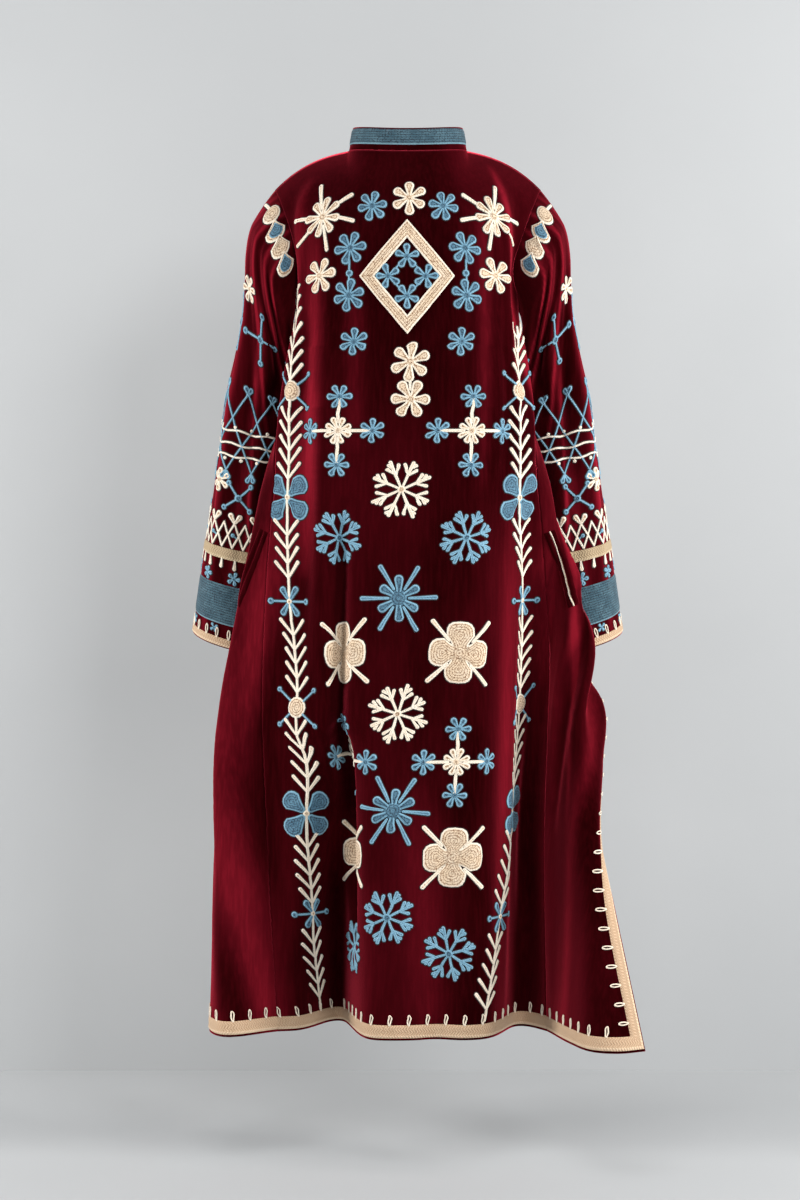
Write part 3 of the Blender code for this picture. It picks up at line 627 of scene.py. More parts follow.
def body_panels():
    """The back and both fronts, whose points and normals agree at the side seams."""
    lower = np.linspace(HEM, UNDERARM, LOWER_ROWS)
    upper = (np.arange(UPPER_ROWS) + 1) / UPPER_ROWS
    back_shares = np.linspace(-1, 1, BACK_COLUMNS + 1)
    front_shares = np.linspace(0, 1, FRONT_COLUMNS + 1)
    shares_out = -back_shares[back_shares < 0]
    shares_in = back_shares[back_shares >= 0]
    back, fronts = [], {1: [], -1: []}
    for z in lower:
        right, back_right, back_left, left = section(z)
        row = np.concatenate([resample(back_right, shares_out), resample(back_left, shares_in)])
        back.append(np.column_stack([row, np.full(len(row), z)]))
        for s, line in ((1, left), (-1, right)):
            fronts[s].append(np.column_stack([resample(line, front_shares), np.full(len(front_shares), z)]))
    right, back_right, back_left, left = section(UNDERARM)
    for r in upper:
        halves = resample(back_right, shares_out * scoop(r)), resample(back_left, shares_in * scoop(r))
        back.append(upper_row(np.concatenate(halves), back_top(back_shares), r, 2.6 + 1.6 * back_shares**2))
        for s, line in ((1, left), (-1, right)):
            base = resample(line, 1 - (1 - front_shares) * scoop(r))
            fronts[s].append(upper_row(base, front_top(front_shares, s), r, 2.2 + 2.0 * (1 - front_shares)))
    back, fronts = np.array(back), {s: np.array(f) for s, f in fronts.items()}
    whole = np.concatenate([fronts[-1][:, :0:-1], back, fronts[1][:, 1:]], axis=1)
    first, last = FRONT_COLUMNS, FRONT_COLUMNS + BACK_COLUMNS
    middle = FRONT_COLUMNS + BACK_COLUMNS // 2
    along = summed(np.linalg.norm(np.diff(whole, axis=1), axis=2))
    across = along - along[:, middle : middle + 1]
    high = along_lines(CREASES, across, whole[..., 2])
    # Painted sheen: how much lighter the velvet is painted along its folds
    light = along_lines(PAINTED_SHEEN_BANDS, across, whole[..., 2])
    high *= ease((len(whole) - 1 - np.arange(len(whole))) / CREASE_END)[:, None]
    high[:, [first, last]] -= GROOVE
    whole = whole + seam_normals(whole, first, last) * high[..., None]
    normals = seam_normals(whole, first, last)
    cuts = {
        "back": (slice(first, last + 1), BACK_COLUMNS // 2, None, 0),
        "front_left": (slice(last, None), 0, 1, 0),
        "front_right": (slice(None, first + 1), FRONT_COLUMNS, -1, -1),
    }
    panels = {}
    for name, (cut, origin, side, seam) in cuts.items():
        points, faces = whole[:, cut].copy(), normals[:, cut].copy()
        if side:
            points[LOWER_ROWS:, seam] = fronts[side][LOWER_ROWS:, 0]
            faces[LOWER_ROWS:, seam] = faces[LOWER_ROWS:, seam + 1 if seam == 0 else seam - 1]
        panels[name] = Panel(points, faces, origin)
        panels[name].light = light[:, cut]
    return panels


def seam_normals(whole, first, last):
    """Normals of the three joined panels, apart above the underarm, where the armholes part them."""
    normals = grid_normals(whole)
    above = slice(LOWER_ROWS, None)
    for cut in (slice(None, first), slice(first + 1, last), slice(last + 1, None)):
        normals[above, cut] = grid_normals(whole[:, cut])[above]
    for seam, inner in ((first, first + 1), (last, last - 1)):
        normals[above, seam] = normals[above, inner]
    return normals


def along_sleeve(table, around, station):
    """The sum of a table's lines round a sleeve at a station: bell curves that fade to both ends."""
    total = np.zeros(len(around))
    for row in table:
        c = dict(zip(SLEEVE_LINE_NAMES, row))
        share = (station - c["from"]) / (c["to"] - c["from"])
        if 0 < share < 1:
            away = (around - c["round"] - c["turn"] * share + 0.5) % 1 - 0.5
            total += c["amount"] * np.sin(math.pi * share) * np.exp(-((away / c["wide"]) ** 2))
    return total


def sleeve_panel(side, panels):
    """A sleeve: rings between the table's ends, from the cuff up to the armhole."""
    back, front = panels["back"].points, panels["front_left" if side > 0 else "front_right"].points
    rise = back[LOWER_ROWS - 1 :, -1 if side > 0 else 0]
    fall = front[LOWER_ROWS - 1 :, 0 if side > 0 else -1][::-1]
    loop = np.concatenate([rise, fall[1:-1]])
    around = np.arange(len(loop)) / len(loop)
    turn = 2 * math.pi * around
    grid, light = [], []
    for s in np.linspace(1, 0, SLEEVE_ROWS + 1):
        at = read(SLEEVE, SLEEVE_NAMES, s)
        outer, inner = np.array([at["outer"], 0, at["outer_z"]]), np.array([at["inner"], 0, at["inner_z"]])
        middle = (outer + inner) / 2 + (0, at["middle_y"], 0)
        arm = (outer - inner) / 2
        deep = np.array([0, at["half_deep"], 0])
        size = (1 - along_sleeve(SLEEVE_CREASES, around, s) / SLEEVE_DEEP)[:, None]
        ring = middle - np.cos(turn)[:, None] * arm * size + np.sin(turn)[:, None] * deep * size
        ring[:, 0] *= side
        ring[:, 2] -= CUFF_DIP * s * np.sin(turn)
        grid.append(ring + (loop - ring) * (1 - ease(s / BLEND)))
        # The sleeve's painted sheen along its creases
        light.append(along_sleeve(SLEEVE_PAINTED_SHEEN, around, s))
    grid, light = np.array(grid), np.array(light)
    if side < 0:
        grid, light = (np.roll(a[:, ::-1], 1, axis=1) for a in (grid, light))
    origin = len(loop) // 4 if side > 0 else len(loop) * 3 // 4
    panel = Panel(grid, grid_normals(grid, closed=True), origin, closed=True)
    panel.light = light
    return panel


# Meshes


def add_object(name, data):
    """A new object in the scene."""
    item = bpy.data.objects.new(name, data)
    bpy.context.scene.collection.objects.link(item)
    return item


def mesh_piece(name, points, faces, look, slot, stitch=None):
    """An object at the origin from points and faces of four corners, with the stitch map of its points."""
    points = np.asarray(points, np.float32).reshape(-1, 3)
    mesh = bpy.data.meshes.new(name)
    mesh.vertices.add(len(points))
    mesh.vertices.foreach_set("co", points.ravel())
    mesh.loops.add(faces.size)
    mesh.loops.foreach_set("vertex_index", faces.astype(np.int32).ravel())
    mesh.polygons.add(len(faces))
    mesh.polygons.foreach_set("loop_start", np.arange(0, faces.size, 4, dtype=np.int32))
    mesh.update(calc_edges=True)
    mesh.polygons.foreach_set("use_smooth", np.full(len(faces), True))
    if stitch is not None:
        layer = mesh.uv_layers.new(name="stitch")
        layer.data.foreach_set("uv", np.asarray(stitch, np.float32).reshape(-1, 2)[faces.ravel()].ravel())
    mesh.materials.append(look)
    item = add_object(name, mesh)
    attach(item, "root")
    return item


def grid_faces(rows, columns, closed=False, count=1, ring=False):
    """The faces of grids one after another, turned to the side that the cross product of up and along gives.

    A closed grid joins its last column to its first, and one that is a ring its last row to its first too.
    """
    i = np.arange(rows if ring else rows - 1)[:, None]
    j = np.arange(columns if closed else columns - 1)[None]
    up, beside = (i + 1) % rows * columns, (j + 1) % columns
    one = np.stack([i * columns + j, up + j, up + beside, i * columns + beside], axis=-1).reshape(-1, 4)
    return (one + np.arange(count)[:, None, None] * rows * columns).reshape(-1, 4)


def cloth_piece(name, node, panel):
    """A panel as a thin wall in place of its solid: the nap outside, the reverse inside."""
    rows, columns = panel.points.shape[:2]
    piece = mesh_piece(name, panel.points, grid_faces(rows, columns, panel.closed), VELVET, "velvet")
    # The lean attribute carries the painted sheen: how much lighter the velvet is painted at each point
    lean = piece.data.attributes.new("lean", "FLOAT", "POINT")
    lean.data.foreach_set("value", panel.light.astype(np.float32).ravel())
    piece.data.materials.append(REVERSE)
    wall = piece.modifiers.new("wall", "SOLIDIFY")
    wall.thickness = CLOTH
    wall.offset = -1
    wall.material_offset = 1
    wall.use_quality_normals = True
    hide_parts(node)
    return piece


# Chain stitch


class Stitching:
    """Petals and rays that wait for their yarn, each a rounded shape between two circles on a spine.

    A row of the list is: across, down, direction in turns, length, base radius, tip radius, squareness, and
    how much further in than its own edge it counts as lying and how much higher it is, where it lies on
    petals. Directions run from across toward down.
    """

    def __init__(self):
        self.petals = {"cream": [], "blue": []}
        self.count = 0

    def petal(self, yarn, at, direction, long, base, tip, square=2.0, lift=0.0):
        """One petal, set a little off by hand: its turn and length waver with a sine of its number."""
        self.count += 1
        waver = math.sin(self.count * 2.399)
        direction, long = direction + 0.006 * waver, long * (1 + 0.03 * waver)
        self.petals[yarn].append((*at, direction, long, base, tip, square, 0.0, lift))

    def line(self, yarn, start, end, thick=0.0017):
        """A straight stem between two places, a little overlong so that stems join."""
        dx, dy = end[0] - start[0], end[1] - start[1]
        turn, long = math.atan2(dy, dx) / (2 * math.pi), math.hypot(dx, dy) + thick
        self.petals[yarn].append((*start, turn, long, thick, thick, 2.0, 0.0, 0.0))

    def dot(self, yarn, at, size, within=0.0):
        """A disc: two equal circles almost on one place."""
        lift = LIFT if within else 0.0
        long = 2 * size + 0.0002
        self.petals[yarn].append((at[0] - size, at[1], 0.0, long, size, size, 2.0, within, lift))

    def out(self, at, direction, far):
        """The place a distance from another, in a direction in turns."""
        angle = 2 * math.pi * direction
        return at[0] + far * math.cos(angle), at[1] + far * math.sin(angle)

    def flower(self, yarn, at, size, turn, petals=6, plump=0.265):
        """Petals all round a filled middle."""
        for k in range(petals):
            a = turn + k / petals
            foot = self.out(at, a, 0.06 * size)
            self.petal(yarn, foot, a, size * 0.94, plump * size * 0.45, plump * size, square=2.15)
        self.dot(yarn, at, 0.20 * size, MIDDLE)

    def rays(self, yarn, at, start, size, angles, base=0.0018, tip=0.0030):
        """Long clubs that spread from a middle."""
        for a in angles:
            self.petal(yarn, self.out(at, a, start), a, size - start, base, tip)

    def pins(self, yarn, at, start, size, angles, head=0.0038):
        """Thin stems that end in a dot."""
        for a in angles:
            end = self.out(at, a, size - head)
            self.line(yarn, self.out(at, a, start), end, thick=0.0015)
            self.dot(yarn, end, head)

    def burst(self, yarn, at, size, turn):
        """Eight petals with six longer rays between them."""
        angles = [turn + k / 8 + 1 / 8 for k in (1, 2.5, 3.5, 5, 6.5, 7.5)]
        self.rays(yarn, at, 0.4 * size, 1.80 * size, angles, base=0.0022, tip=0.0031)
        self.flower(yarn, at, size, turn + 1 / 16, petals=8, plump=0.20)

    def star(self, yarn, at, size, turn):
        """Six long petals that join in a broad middle, with six longer rays between them."""
        angles = [turn + (k + 0.5) / 6 for k in range(6)]
        self.rays(yarn, at, 0.4 * size, 1.68 * size, angles, base=0.0020, tip=0.0032)
        self.flower(yarn, at, size, turn, plump=0.195)
        self.dot(yarn, at, 0.36 * size, MIDDLE)

    def frost(self, yarn, at, size, turn):
        """Eight stems round a small dot, each with a tip and three side twigs."""
        self.dot(yarn, at, 0.0058)
        for k in range(8):
            a = turn + (k + 0.5) / 8
            self.rays(yarn, at, 0.003, size, [a], base=0.0016, tip=0.0027)
            twigs = ((0.50, 0.100, 0.40), (0.48, -0.100, 0.40), (0.70, 0.090 * (-1) ** k, 0.27))
            for share, lean, long in twigs:
                foot = self.out(at, a, share * size)
                self.petal(yarn, foot, a + lean, long * size, base=0.0014, tip=0.0026)

    def cross(self, yarn, at, size, turn):
        """An eight-petalled flower with four stems, each of which ends in a small one of the other yarn."""
        other = "blue" if yarn == "cream" else "cream"
        for k in range(4):
            a = turn + k / 4
            tip = self.out(at, a, size)
            self.flower(other, tip, 0.0185, a + 1 / 12, plump=0.25)
            self.line(yarn, self.out(at, a, 0.010), tip, thick=0.0023)
            self.dot(yarn, tip, 0.0037)
        self.flower(yarn, at, 0.0205, turn + 1 / 16, petals=8, plump=0.215)

    def clover(self, yarn, at, size, turn):
        """Four broad blunt petals filled with rows of stitches, and four rays between them."""
        angles = [turn + (k + 0.5) / 4 for k in range(4)]
        self.rays(yarn, at, 0.5 * size, 1.47 * size, angles, base=0.0022, tip=0.0033)
        for k in range(4):
            self.petal(yarn, at, turn + k / 4, size, base=0.0120, tip=0.47 * size, square=3.0)
        self.dot(yarn, at, 0.26 * size, MIDDLE)

    def rosette(self, at):
        """Four broad blue leaves on the slant round a cream dot."""
        for a in (0.118, 0.382, 0.618, 0.882):
            self.petal("blue", self.out(at, a, 0.004), a, 0.037, base=0.0055, tip=0.0150, square=2.4)
        self.dot("cream", at, 0.0048)

    def roundel(self, at):
        """A disc with four blue pins on the slant."""
        self.pins("blue", at, 0.012, 0.044, [0.11, 0.39, 0.61, 0.89])
        self.dot("cream", at, 0.0155)

    def sprig(self, at):
        """Four small blue petals on the slant, a pin to each side and a cream dot."""
        self.rays("blue", at, 0.003, 0.025, [0.16, 0.34, 0.66, 0.84], base=0.0028, tip=0.0050)
        self.pins("blue", at, 0.004, 0.034, [0.0, 0.5], head=0.0045)
        self.dot("cream", at, 0.0043)

    def outlines(self, yarn, sides=3, tips=8):
        """Every petal as rings of points: outward from its spine to its edge and on to a ring of pressed pile
        painted near black as painted shade.

        A ring's point is the spine's point plus a share of the radius there, turned round the shape.
        """
        rows = np.array(self.petals[yarn])
        across, down, turn, long, base, tip, square, within, lift = np.split(rows, rows.shape[1], axis=1)
        half = math.pi / 2
        s = np.linspace(0, 1, sides + 1)[None]
        tip_turn = np.linspace(half, -half, tips + 1)[None, 1:-1]
        base_turn = np.linspace(-half, -3 * half, tips + 1)[None, 1:-1]
        count = len(rows)
        spine = np.concatenate([s, np.ones_like(tip_turn), s[:, ::-1], np.zeros_like(base_turn)], axis=1)
        angle = np.concatenate([np.full_like(s, half), tip_turn, np.full_like(s, -half), base_turn], axis=1)
        spine, angle = np.repeat(spine, count, 0), np.repeat(angle, count, 0)
        radius = base + (tip - base) * spine**1.2
        x0 = base + (np.maximum(long - tip, base + 1e-5) - base) * spine
        power = 2 / np.where(spine > 0.5, square, 2.0)
        cx = np.sign(np.cos(angle)) * np.abs(np.cos(angle)) ** power
        cy = np.sign(np.sin(angle)) * np.abs(np.sin(angle)) ** power
        rings = ((1.0, 0.0, HALO), (1.0, 0.25, 0.0), (0.80, 0.95, 0.0), (0.45, 1.0, 0.0), (0.0, 0.72, 0.0))
        out = []
        edge = summed(np.hypot(np.diff(x0 + radius * cx), np.diff(radius * cy)))
        c, t = np.cos(2 * math.pi * turn), np.sin(2 * math.pi * turn)
        for share, high, more in rings:
            x, y = x0 + (radius * share + more) * cx, (radius * share + more) * cy
            tall = STITCH_TALL * high * np.clip(radius / FULL_HALF, 0.75, 1.15) + UNDER_YARN + lift
            inside = radius * (1 - share) - more + within
            out.append(np.stack([across + x * c - y * t, down + x * t + y * c, tall, edge, inside], axis=-1))
        return np.stack(out, axis=1)

    def pieces(self, place, panel, side=""):
        """Each yarn's petals on a panel as one mesh: down counts from its top, on a sleeve from the cuff."""
        pieces = []
        for yarn, look, slot in (("cream", CREAM, "cream_braid"), ("blue", BLUE, "blue_stitching")):
            rings = self.outlines(yarn)
            count, depth, n = rings.shape[:3]
            row = panel.row_up(-rings[..., 1]) if panel.closed else panel.row_down(rings[..., 1])
            points = panel.at_row(row, rings[..., 0], rings[..., 2])
            faces = grid_faces(depth, n, closed=True, count=count)
            name = f"{place}_{yarn}_stitching{side}"
            pieces.append(mesh_piece(name, points, faces, look, slot, rings[..., 3:5]))
        return pieces


def strip(panel, row, across, tall, along, inside):
    """A strip on the cloth as points with their stitch map, turned so that its faces look outward."""
    row, across, tall, along, inside = np.broadcast_arrays(row, across, tall, along, inside)
    points = panel.at_row(row, across, tall)
    stitch = np.stack([along, inside], axis=-1)
    out = panel.at_row(row, across, tall + CLOTH) - points
    facing = np.cross(points[1:, :-1] - points[:-1, :-1], points[:-1, 1:] - points[:-1, :-1])
    if np.sum(facing * out[:-1, :-1]) < 0:
        return points[:, ::-1], stitch[:, ::-1]
    return points, stitch


def band_piece(name, sheets, look, slot, node=None, closed=False):
    """Several strips joined in one mesh, in place of a node where one is given."""
    faces, start = [], 0
    for sheet, _ in sheets:
        rows, columns = sheet.shape[:2]
        faces.append(grid_faces(rows, columns, closed) + start)
        start += rows * columns
    points = np.concatenate([sheet.reshape(-1, 3) for sheet, _ in sheets])
    stitch = np.concatenate([places.reshape(-1, 2) for _, places in sheets])
    piece = mesh_piece(name, points, np.concatenate(faces), look, slot, stitch)
    if node:
        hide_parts(node)
    return piece


# Materials


class Wire:
    """A socket of a material, whose operators add the Math nodes that work them out."""

    def __init__(self, look, socket):
        self.look, self.socket = look, socket

    def math(self, operation, *others):
        return self.look.add("ShaderNodeMath", {"operation": operation}, [self, *others])

    def __add__(self, other):
        return self.math("ADD", other)

    def __sub__(self, other):
        return self.math("SUBTRACT", other)

    def __mul__(self, other):
        return self.math("MULTIPLY", other)

    def __truediv__(self, other):
        return self.math("DIVIDE", other)

    def __rsub__(self, other):
        return self.look.add("ShaderNodeMath", {"operation": "SUBTRACT"}, [other, self])

    __radd__ = __add__

    def sin(self):
        return self.math("SINE")

    def size(self):
        return self.math("ABSOLUTE")

    def above(self, low, high):
        """0 below low, 1 above high, with soft ends."""
        soft = {"interpolation_type": "SMOOTHSTEP"}
        return self.look.add("ShaderNodeMapRange", soft, [self, low, high, 0.0, 1.0])


class Look:
    """A material under construction, whose methods each add a node and give back the socket to read."""

    def __init__(self, name):
        self.material = bpy.data.materials.new(name)
        self.material.use_nodes = True
        self.tree = self.material.node_tree
        self.shader = self.tree.nodes["Principled BSDF"]

    def add(self, kind, settings, inputs, output=0):
        """One node: its settings first, then a value or a link for each socket, by place or by name."""
        node = self.tree.nodes.new(kind)
        for key, value in settings.items():
            setattr(node, key, value)
        pairs = inputs.items() if isinstance(inputs, dict) else enumerate(inputs)
        for key, value in pairs:
            self.feed(node.inputs[key], value)
        return Wire(self, node.outputs[output])

    def feed(self, socket, value):
        if isinstance(value, Wire):
            self.tree.links.new(value.socket, socket)
        elif isinstance(value, tuple) and len(value) == 3 and socket.type == "RGBA":
            socket.default_value = (*value, 1.0)
        else:
            socket.default_value = value

    def place(self):
        return self.add("ShaderNodeTexCoord", {}, {}, "Object")

    def noise(self, scale, detail=2.0, stretch=(1.0, 1.0, 1.0)):
        spot = self.add("ShaderNodeMapping", {}, {"Vector": self.place(), "Scale": stretch})
        inputs = {"Vector": spot, "Scale": scale, "Detail": detail}
        return self.add("ShaderNodeTexNoise", {}, inputs)

    def mix(self, share, first, second):
        """A colour between two, by a share from 0 to 1."""
        return self.add("ShaderNodeMix", {"data_type": "RGBA"}, {0: share, 6: first, 7: second}, 2)

    def bump(self, height, strength, distance):
        return self.add("ShaderNodeBump", {}, {"Height": height, "Strength": strength, "Distance": distance})

    def split(self):
        """The stitch map's two distances: along the stitches, and in from the edge."""
        uv = self.add("ShaderNodeUVMap", {"uv_map": "stitch"}, {})
        along = self.add("ShaderNodeSeparateXYZ", {}, [uv], 0)
        inside = self.add("ShaderNodeSeparateXYZ", {}, [uv], 1)
        return along, inside

    def finish(self, colour, rough, normal=None, **fixed):
        self.feed(self.shader.inputs["Base Color"], colour)
        self.feed(self.shader.inputs["Roughness"], rough)
        if normal is not None:
            self.feed(self.shader.inputs["Normal"], normal)
        for key, value in fixed.items():
            self.feed(self.shader.inputs[key.replace("_", " ")], value)
        return self.material


def velvet_look():
    """Burgundy velvet: patches where the pile leans differently, fine upright streaks, bands painted lighter
    along the folds as painted sheen, and a red sheen from the shader.
    """
    look = Look("burgundy_velvet")
    patches = look.noise(7.0, 3.0, (1.0, 1.0, 0.35))
    streaks = look.noise(230.0, 2.0, (1.0, 1.0, 0.10))
    pile = look.noise(1500.0, 2.0)
    lean = patches.above(0.38, 0.66)
    # The lean attribute read here is painted sheen: lighter bands painted along the folds
    painted_sheen = look.add("ShaderNodeAttribute", {"attribute_name": "lean"}, {}, "Fac")
    ragged = 0.65 + lean * 0.45 + streaks.above(0.35, 0.75) * 0.25
    shade = lean * 0.11 + streaks.above(0.35, 0.75) * 0.05 + pile * 0.04 + painted_sheen * ragged
    colour = look.mix(shade, (0.0065, 0.0001, 0.0002), (0.190, 0.0070, 0.0155))
    height = patches * 0.45 + streaks * 0.25 + pile * 0.3
    return look.finish(
        colour, 0.60 - lean * 0.10, look.bump(height, 0.30, 0.0014),
        Sheen_Weight=1.0, Sheen_Roughness=0.36, Sheen_Tint=(1.0, 0.065, 0.115, 1.0), Specular_IOR_Level=0.0,
    )


def reverse_look():
    """The velvet's woven reverse: a fine plain weave of dull red cotton."""
    look = Look("velvet_reverse")
    x, y, z = (look.add("ShaderNodeSeparateXYZ", {}, [look.place()], k) for k in range(3))
    weave = ((x + y) * 5200.0).sin() * (z * 5200.0).sin()
    patches = look.noise(30.0, 3.0)
    colour = look.mix(patches.above(0.3, 0.7), (0.060, 0.004, 0.008), (0.095, 0.008, 0.014))
    return look.finish(colour, 0.85, look.bump(weave, 0.15, 0.0003), Sheen_Weight=0.2, Sheen_Roughness=0.5)


def stitch_look(name, light, deep, fleck_and_groove_shade, rim=0.0021):
    """Rows of chain stitch along a motif's edge: links along each row, a groove between rows, yarn flecks,
    the grooves painted darker as painted shade, and a ring of painted shade round the motif.

    The row at the edge is in the lighter yarn.
    """
    look = Look(name)
    along, inside = look.split()
    across = (inside / ROW_WIDE).math("FRACT") - 0.5
    groove = (across.size() * 2.0).above(0.60, 1.0)
    link = ((along / LINK_LONG + across.size() * 1.1) * (2 * math.pi)).sin() * 0.5 + 0.5
    flecks = look.noise(470.0, 3.0)
    bands = look.noise(70.0, 2.0)
    edge = 1 - inside.above(rim * 0.65, rim * 1.35)
    body = look.mix(edge * 0.80 + bands.above(0.35, 0.75) * 0.30, deep, light)
    # The grooves between rows and between links are painted darker as painted shade in the recesses; the
    # flecks are the yarn's own darker colour
    painted_groove_shade_and_flecks = groove * 0.80 + (1 - link) * 0.30 + flecks.above(0.46, 0.66) * 0.70
    body = look.mix((painted_groove_shade_and_flecks * (1 - edge * 0.62)).above(0.20, 1.10), body, fleck_and_groove_shade)
    # Outside a motif's edge the ring of pressed pile is painted near black: painted shade round the stitching
    sewn = inside.above(-0.0002, 0.0001)
    colour = look.mix(sewn, (0.006, 0.0003, 0.0005), body)
    height = ((1 - groove) * 0.50 + link * 0.35 + flecks * 0.15) * sewn
    return look.finish(colour, 0.82, look.bump(height, 0.7, 0.0011), Sheen_Weight=0.12, Sheen_Roughness=0.4)


def braid_look(name, light, deep):
    """Flat plaited braid: slanting strands that meet in a V along each of its rows, and flecks of yarn."""
    look = Look(name)
    along, inside = look.split()
    fold = (inside / PLAIT_WIDE).math("PINGPONG", 1.0)
    strand = ((along / STRAND_LONG + fold * 0.9) * (2 * math.pi)).sin() * 0.5 + 0.5
    fine = look.noise(1300.0, 3.0)
    bands = look.noise(55.0, 2.0)
    rim = 1 - inside.above(0.0034, 0.0048)
    shade = strand * 0.34 + fine.above(0.35, 0.68) * 0.30 + bands * 0.14 + rim * 0.34
    colour = look.mix(shade, deep, light)
    relief = look.bump(strand * 0.7 + fine * 0.3, 0.7, 0.0012)
    return look.finish(colour, 0.85, relief, Sheen_Weight=0.1, Sheen_Roughness=0.4)


VELVET = velvet_look()
REVERSE = reverse_look()
CREAM = stitch_look("cream_chain_stitch", (0.88, 0.80, 0.67), (0.76, 0.59, 0.41), (0.25, 0.130, 0.065))
BLUE = stitch_look("blue_chain_stitch", (0.20, 0.40, 0.53), (0.065, 0.165, 0.245), (0.008, 0.026, 0.050))
TEAL = stitch_look("teal_chain_stitch", (0.150, 0.280, 0.340), (0.030, 0.083, 0.115), (0.004, 0.014, 0.026))
PLAIT = braid_look("cream_plait", (0.78, 0.60, 0.41), (0.36, 0.20, 0.105))
STRAW = braid_look("straw_plait", (0.62, 0.49, 0.31), (0.27, 0.18, 0.095))


# The coat


def vine_across(down, side):
    """How far across a vine's stem lies."""
    return side * read(VINE_COURSE, VINE_NAMES, down)["left" if side > 0 else "right"]


def stitch_vine(work, side, bottom):
    """A stem with pairs of leaves, broken by roundels, rosettes and sprigs."""
    top = VINE_TOP[side]
    marks = np.linspace(top, bottom, int((bottom - top) / STEM_STEP) + 1)
    for high, low in zip(marks[:-1], marks[1:]):
        work.line("cream", (vine_across(high, side), high), (vine_across(low, side), low), thick=0.0022)
    for down in np.arange(top + 0.020, bottom - 0.004, LEAF_EVERY):
        if not any(abs(down - d) < gap - 0.010 or 0 < down - d < gap + 0.016 for _, d, gap in VINE_BREAKS):
            for lean in (-1, 1):
                turn = -0.25 + lean * LEAF_TURN / (2 * math.pi)
                at = vine_across(down, side), down
                work.petal("cream", at, turn, LEAF_LONG, base=0.0018, tip=0.0028)
    for kind, d, _ in VINE_BREAKS:
        getattr(work, kind)((vine_across(d, side), d))


def stitch_back(panel):
    """Every motif of the back, and the lozenge between the shoulders."""
    work = Stitching()
    for row in MOTIFS:
        m = dict(zip(MOTIF_NAMES, row))
        for side in (1, -1) if m["pair"] else (1,):
            place = m["yarn"], (side * m["across"], m["down"]), m["size"]
            if m["kind"] == "dot":
                work.dot(*place)
            else:
                getattr(work, m["kind"])(*place, m["turn"] * side)
    for side in (1, -1):
        work.line("blue", (side * 0.085, 0.172), (side * 0.086, 0.208), thick=0.0013)
        stitch_vine(work, side, panel.down[0] - BRAID_WIDE - 0.008)
    work.line("cream", (-0.006, 0.340), (-0.006, 0.360), thick=0.0020)
    x, y = LOZENGE["centre"]
    for k in range(4):
        turns = math.pi / 2 * k, math.pi / 2 * (k + 1)
        start, end = ((x + RING_WIDE * math.cos(a), y + RING_HIGH * math.sin(a)) for a in turns)
        work.line("blue", start, end, thick=0.0012)
        work.flower("blue", start, 0.0185, 0.25 * k, petals=5, plump=0.27)
    return work.pieces("back", panel) + [
        band_piece("lozenge", list(lozenge(panel, **LOZENGE)), CREAM, "cream_braid"),
    ]


def lozenge(panel, centre, wide, high, band):
    """A diamond of four bands: each side runs between two corners, from the outer edge to the inner one."""
    corners = np.array([(wide, 0), (0, high), (-wide, 0), (0, -high), (wide, 0)])
    shrink = 1 - band * math.hypot(wide, high) / (wide * high)
    halo = 1 + HALO * math.hypot(wide, high) / (wide * high)
    t = np.linspace(0, 1, 25)[:, None]
    # The outermost rows lie past the band's edge, on pile that the stitch material paints near black as
    # painted shade
    s = np.array([halo, 1.0, 0.97, 0.90, 0.5, 0.10, 0.03, 0.0, 1 - halo])[None]
    tall = np.array([0.0, 0.15, 0.85, 1.0, 1.0, 1.0, 0.85, 0.15, 0.0])[None] * STITCH_TALL * 1.2 + ON_CLOTH
    depth = np.array([-HALO, 0.0, 0.0006, 0.0018, band / 2, 0.0018, 0.0006, 0.0, -HALO])[None]
    for a, b in zip(corners[:-1], corners[1:]):
        edge = shrink + (1 - shrink) * s
        x = (a[0] + (b[0] - a[0]) * t) * edge
        y = (a[1] + (b[1] - a[1]) * t) * edge
        row = panel.row_down(centre[1] + y)
        yield strip(panel, row, centre[0] + x, tall, t * np.linalg.norm(b - a), depth)


def braid_profile(wide, across=11):
    """Across a braid from its outer edge to its inner one: how far in, and how high, in two rounded rows."""
    a = np.linspace(0, 1, across)[:, None]
    rows = np.where(a < 0.34, np.sin(math.pi * a / 0.34), np.sin(math.pi * (a - 0.34) / 0.66))
    edge = np.clip(np.minimum(a, 1 - a) * 14, 0.12, 1)
    return a * wide, BRAID_THICK * (0.45 + 0.55 * np.clip(rows, 0, 1) ** 0.5) * edge


def hem_strip(panel, start, end, mitre=0):
    """The hem's braid on a panel between two distances across, mitred where it meets a front's edge."""
    wide, tall = braid_profile(BRAID_WIDE)
    t = np.linspace(0, 1, int(abs(end - start) / 0.0030))
    across = start + (end - wide * mitre - start) * t
    return strip(panel, panel.row_up(BRAID_UP + wide), across, tall, np.abs(across), wide)


def edge_strip(panel, side):
    """The braid up a front's free edge, from the mitred corner to the neck."""
    wide, tall = braid_profile(BRAID_WIDE)
    low = panel.row_up(BRAID_UP + wide)
    t = np.linspace(0, 1, 420)
    row = low + (len(panel.points) - 1 - low) * t
    across = side * (panel.width_at(row) - wide - EDGE_LEFT)
    return strip(panel, row, across, tall, t * panel.up[-1], wide)


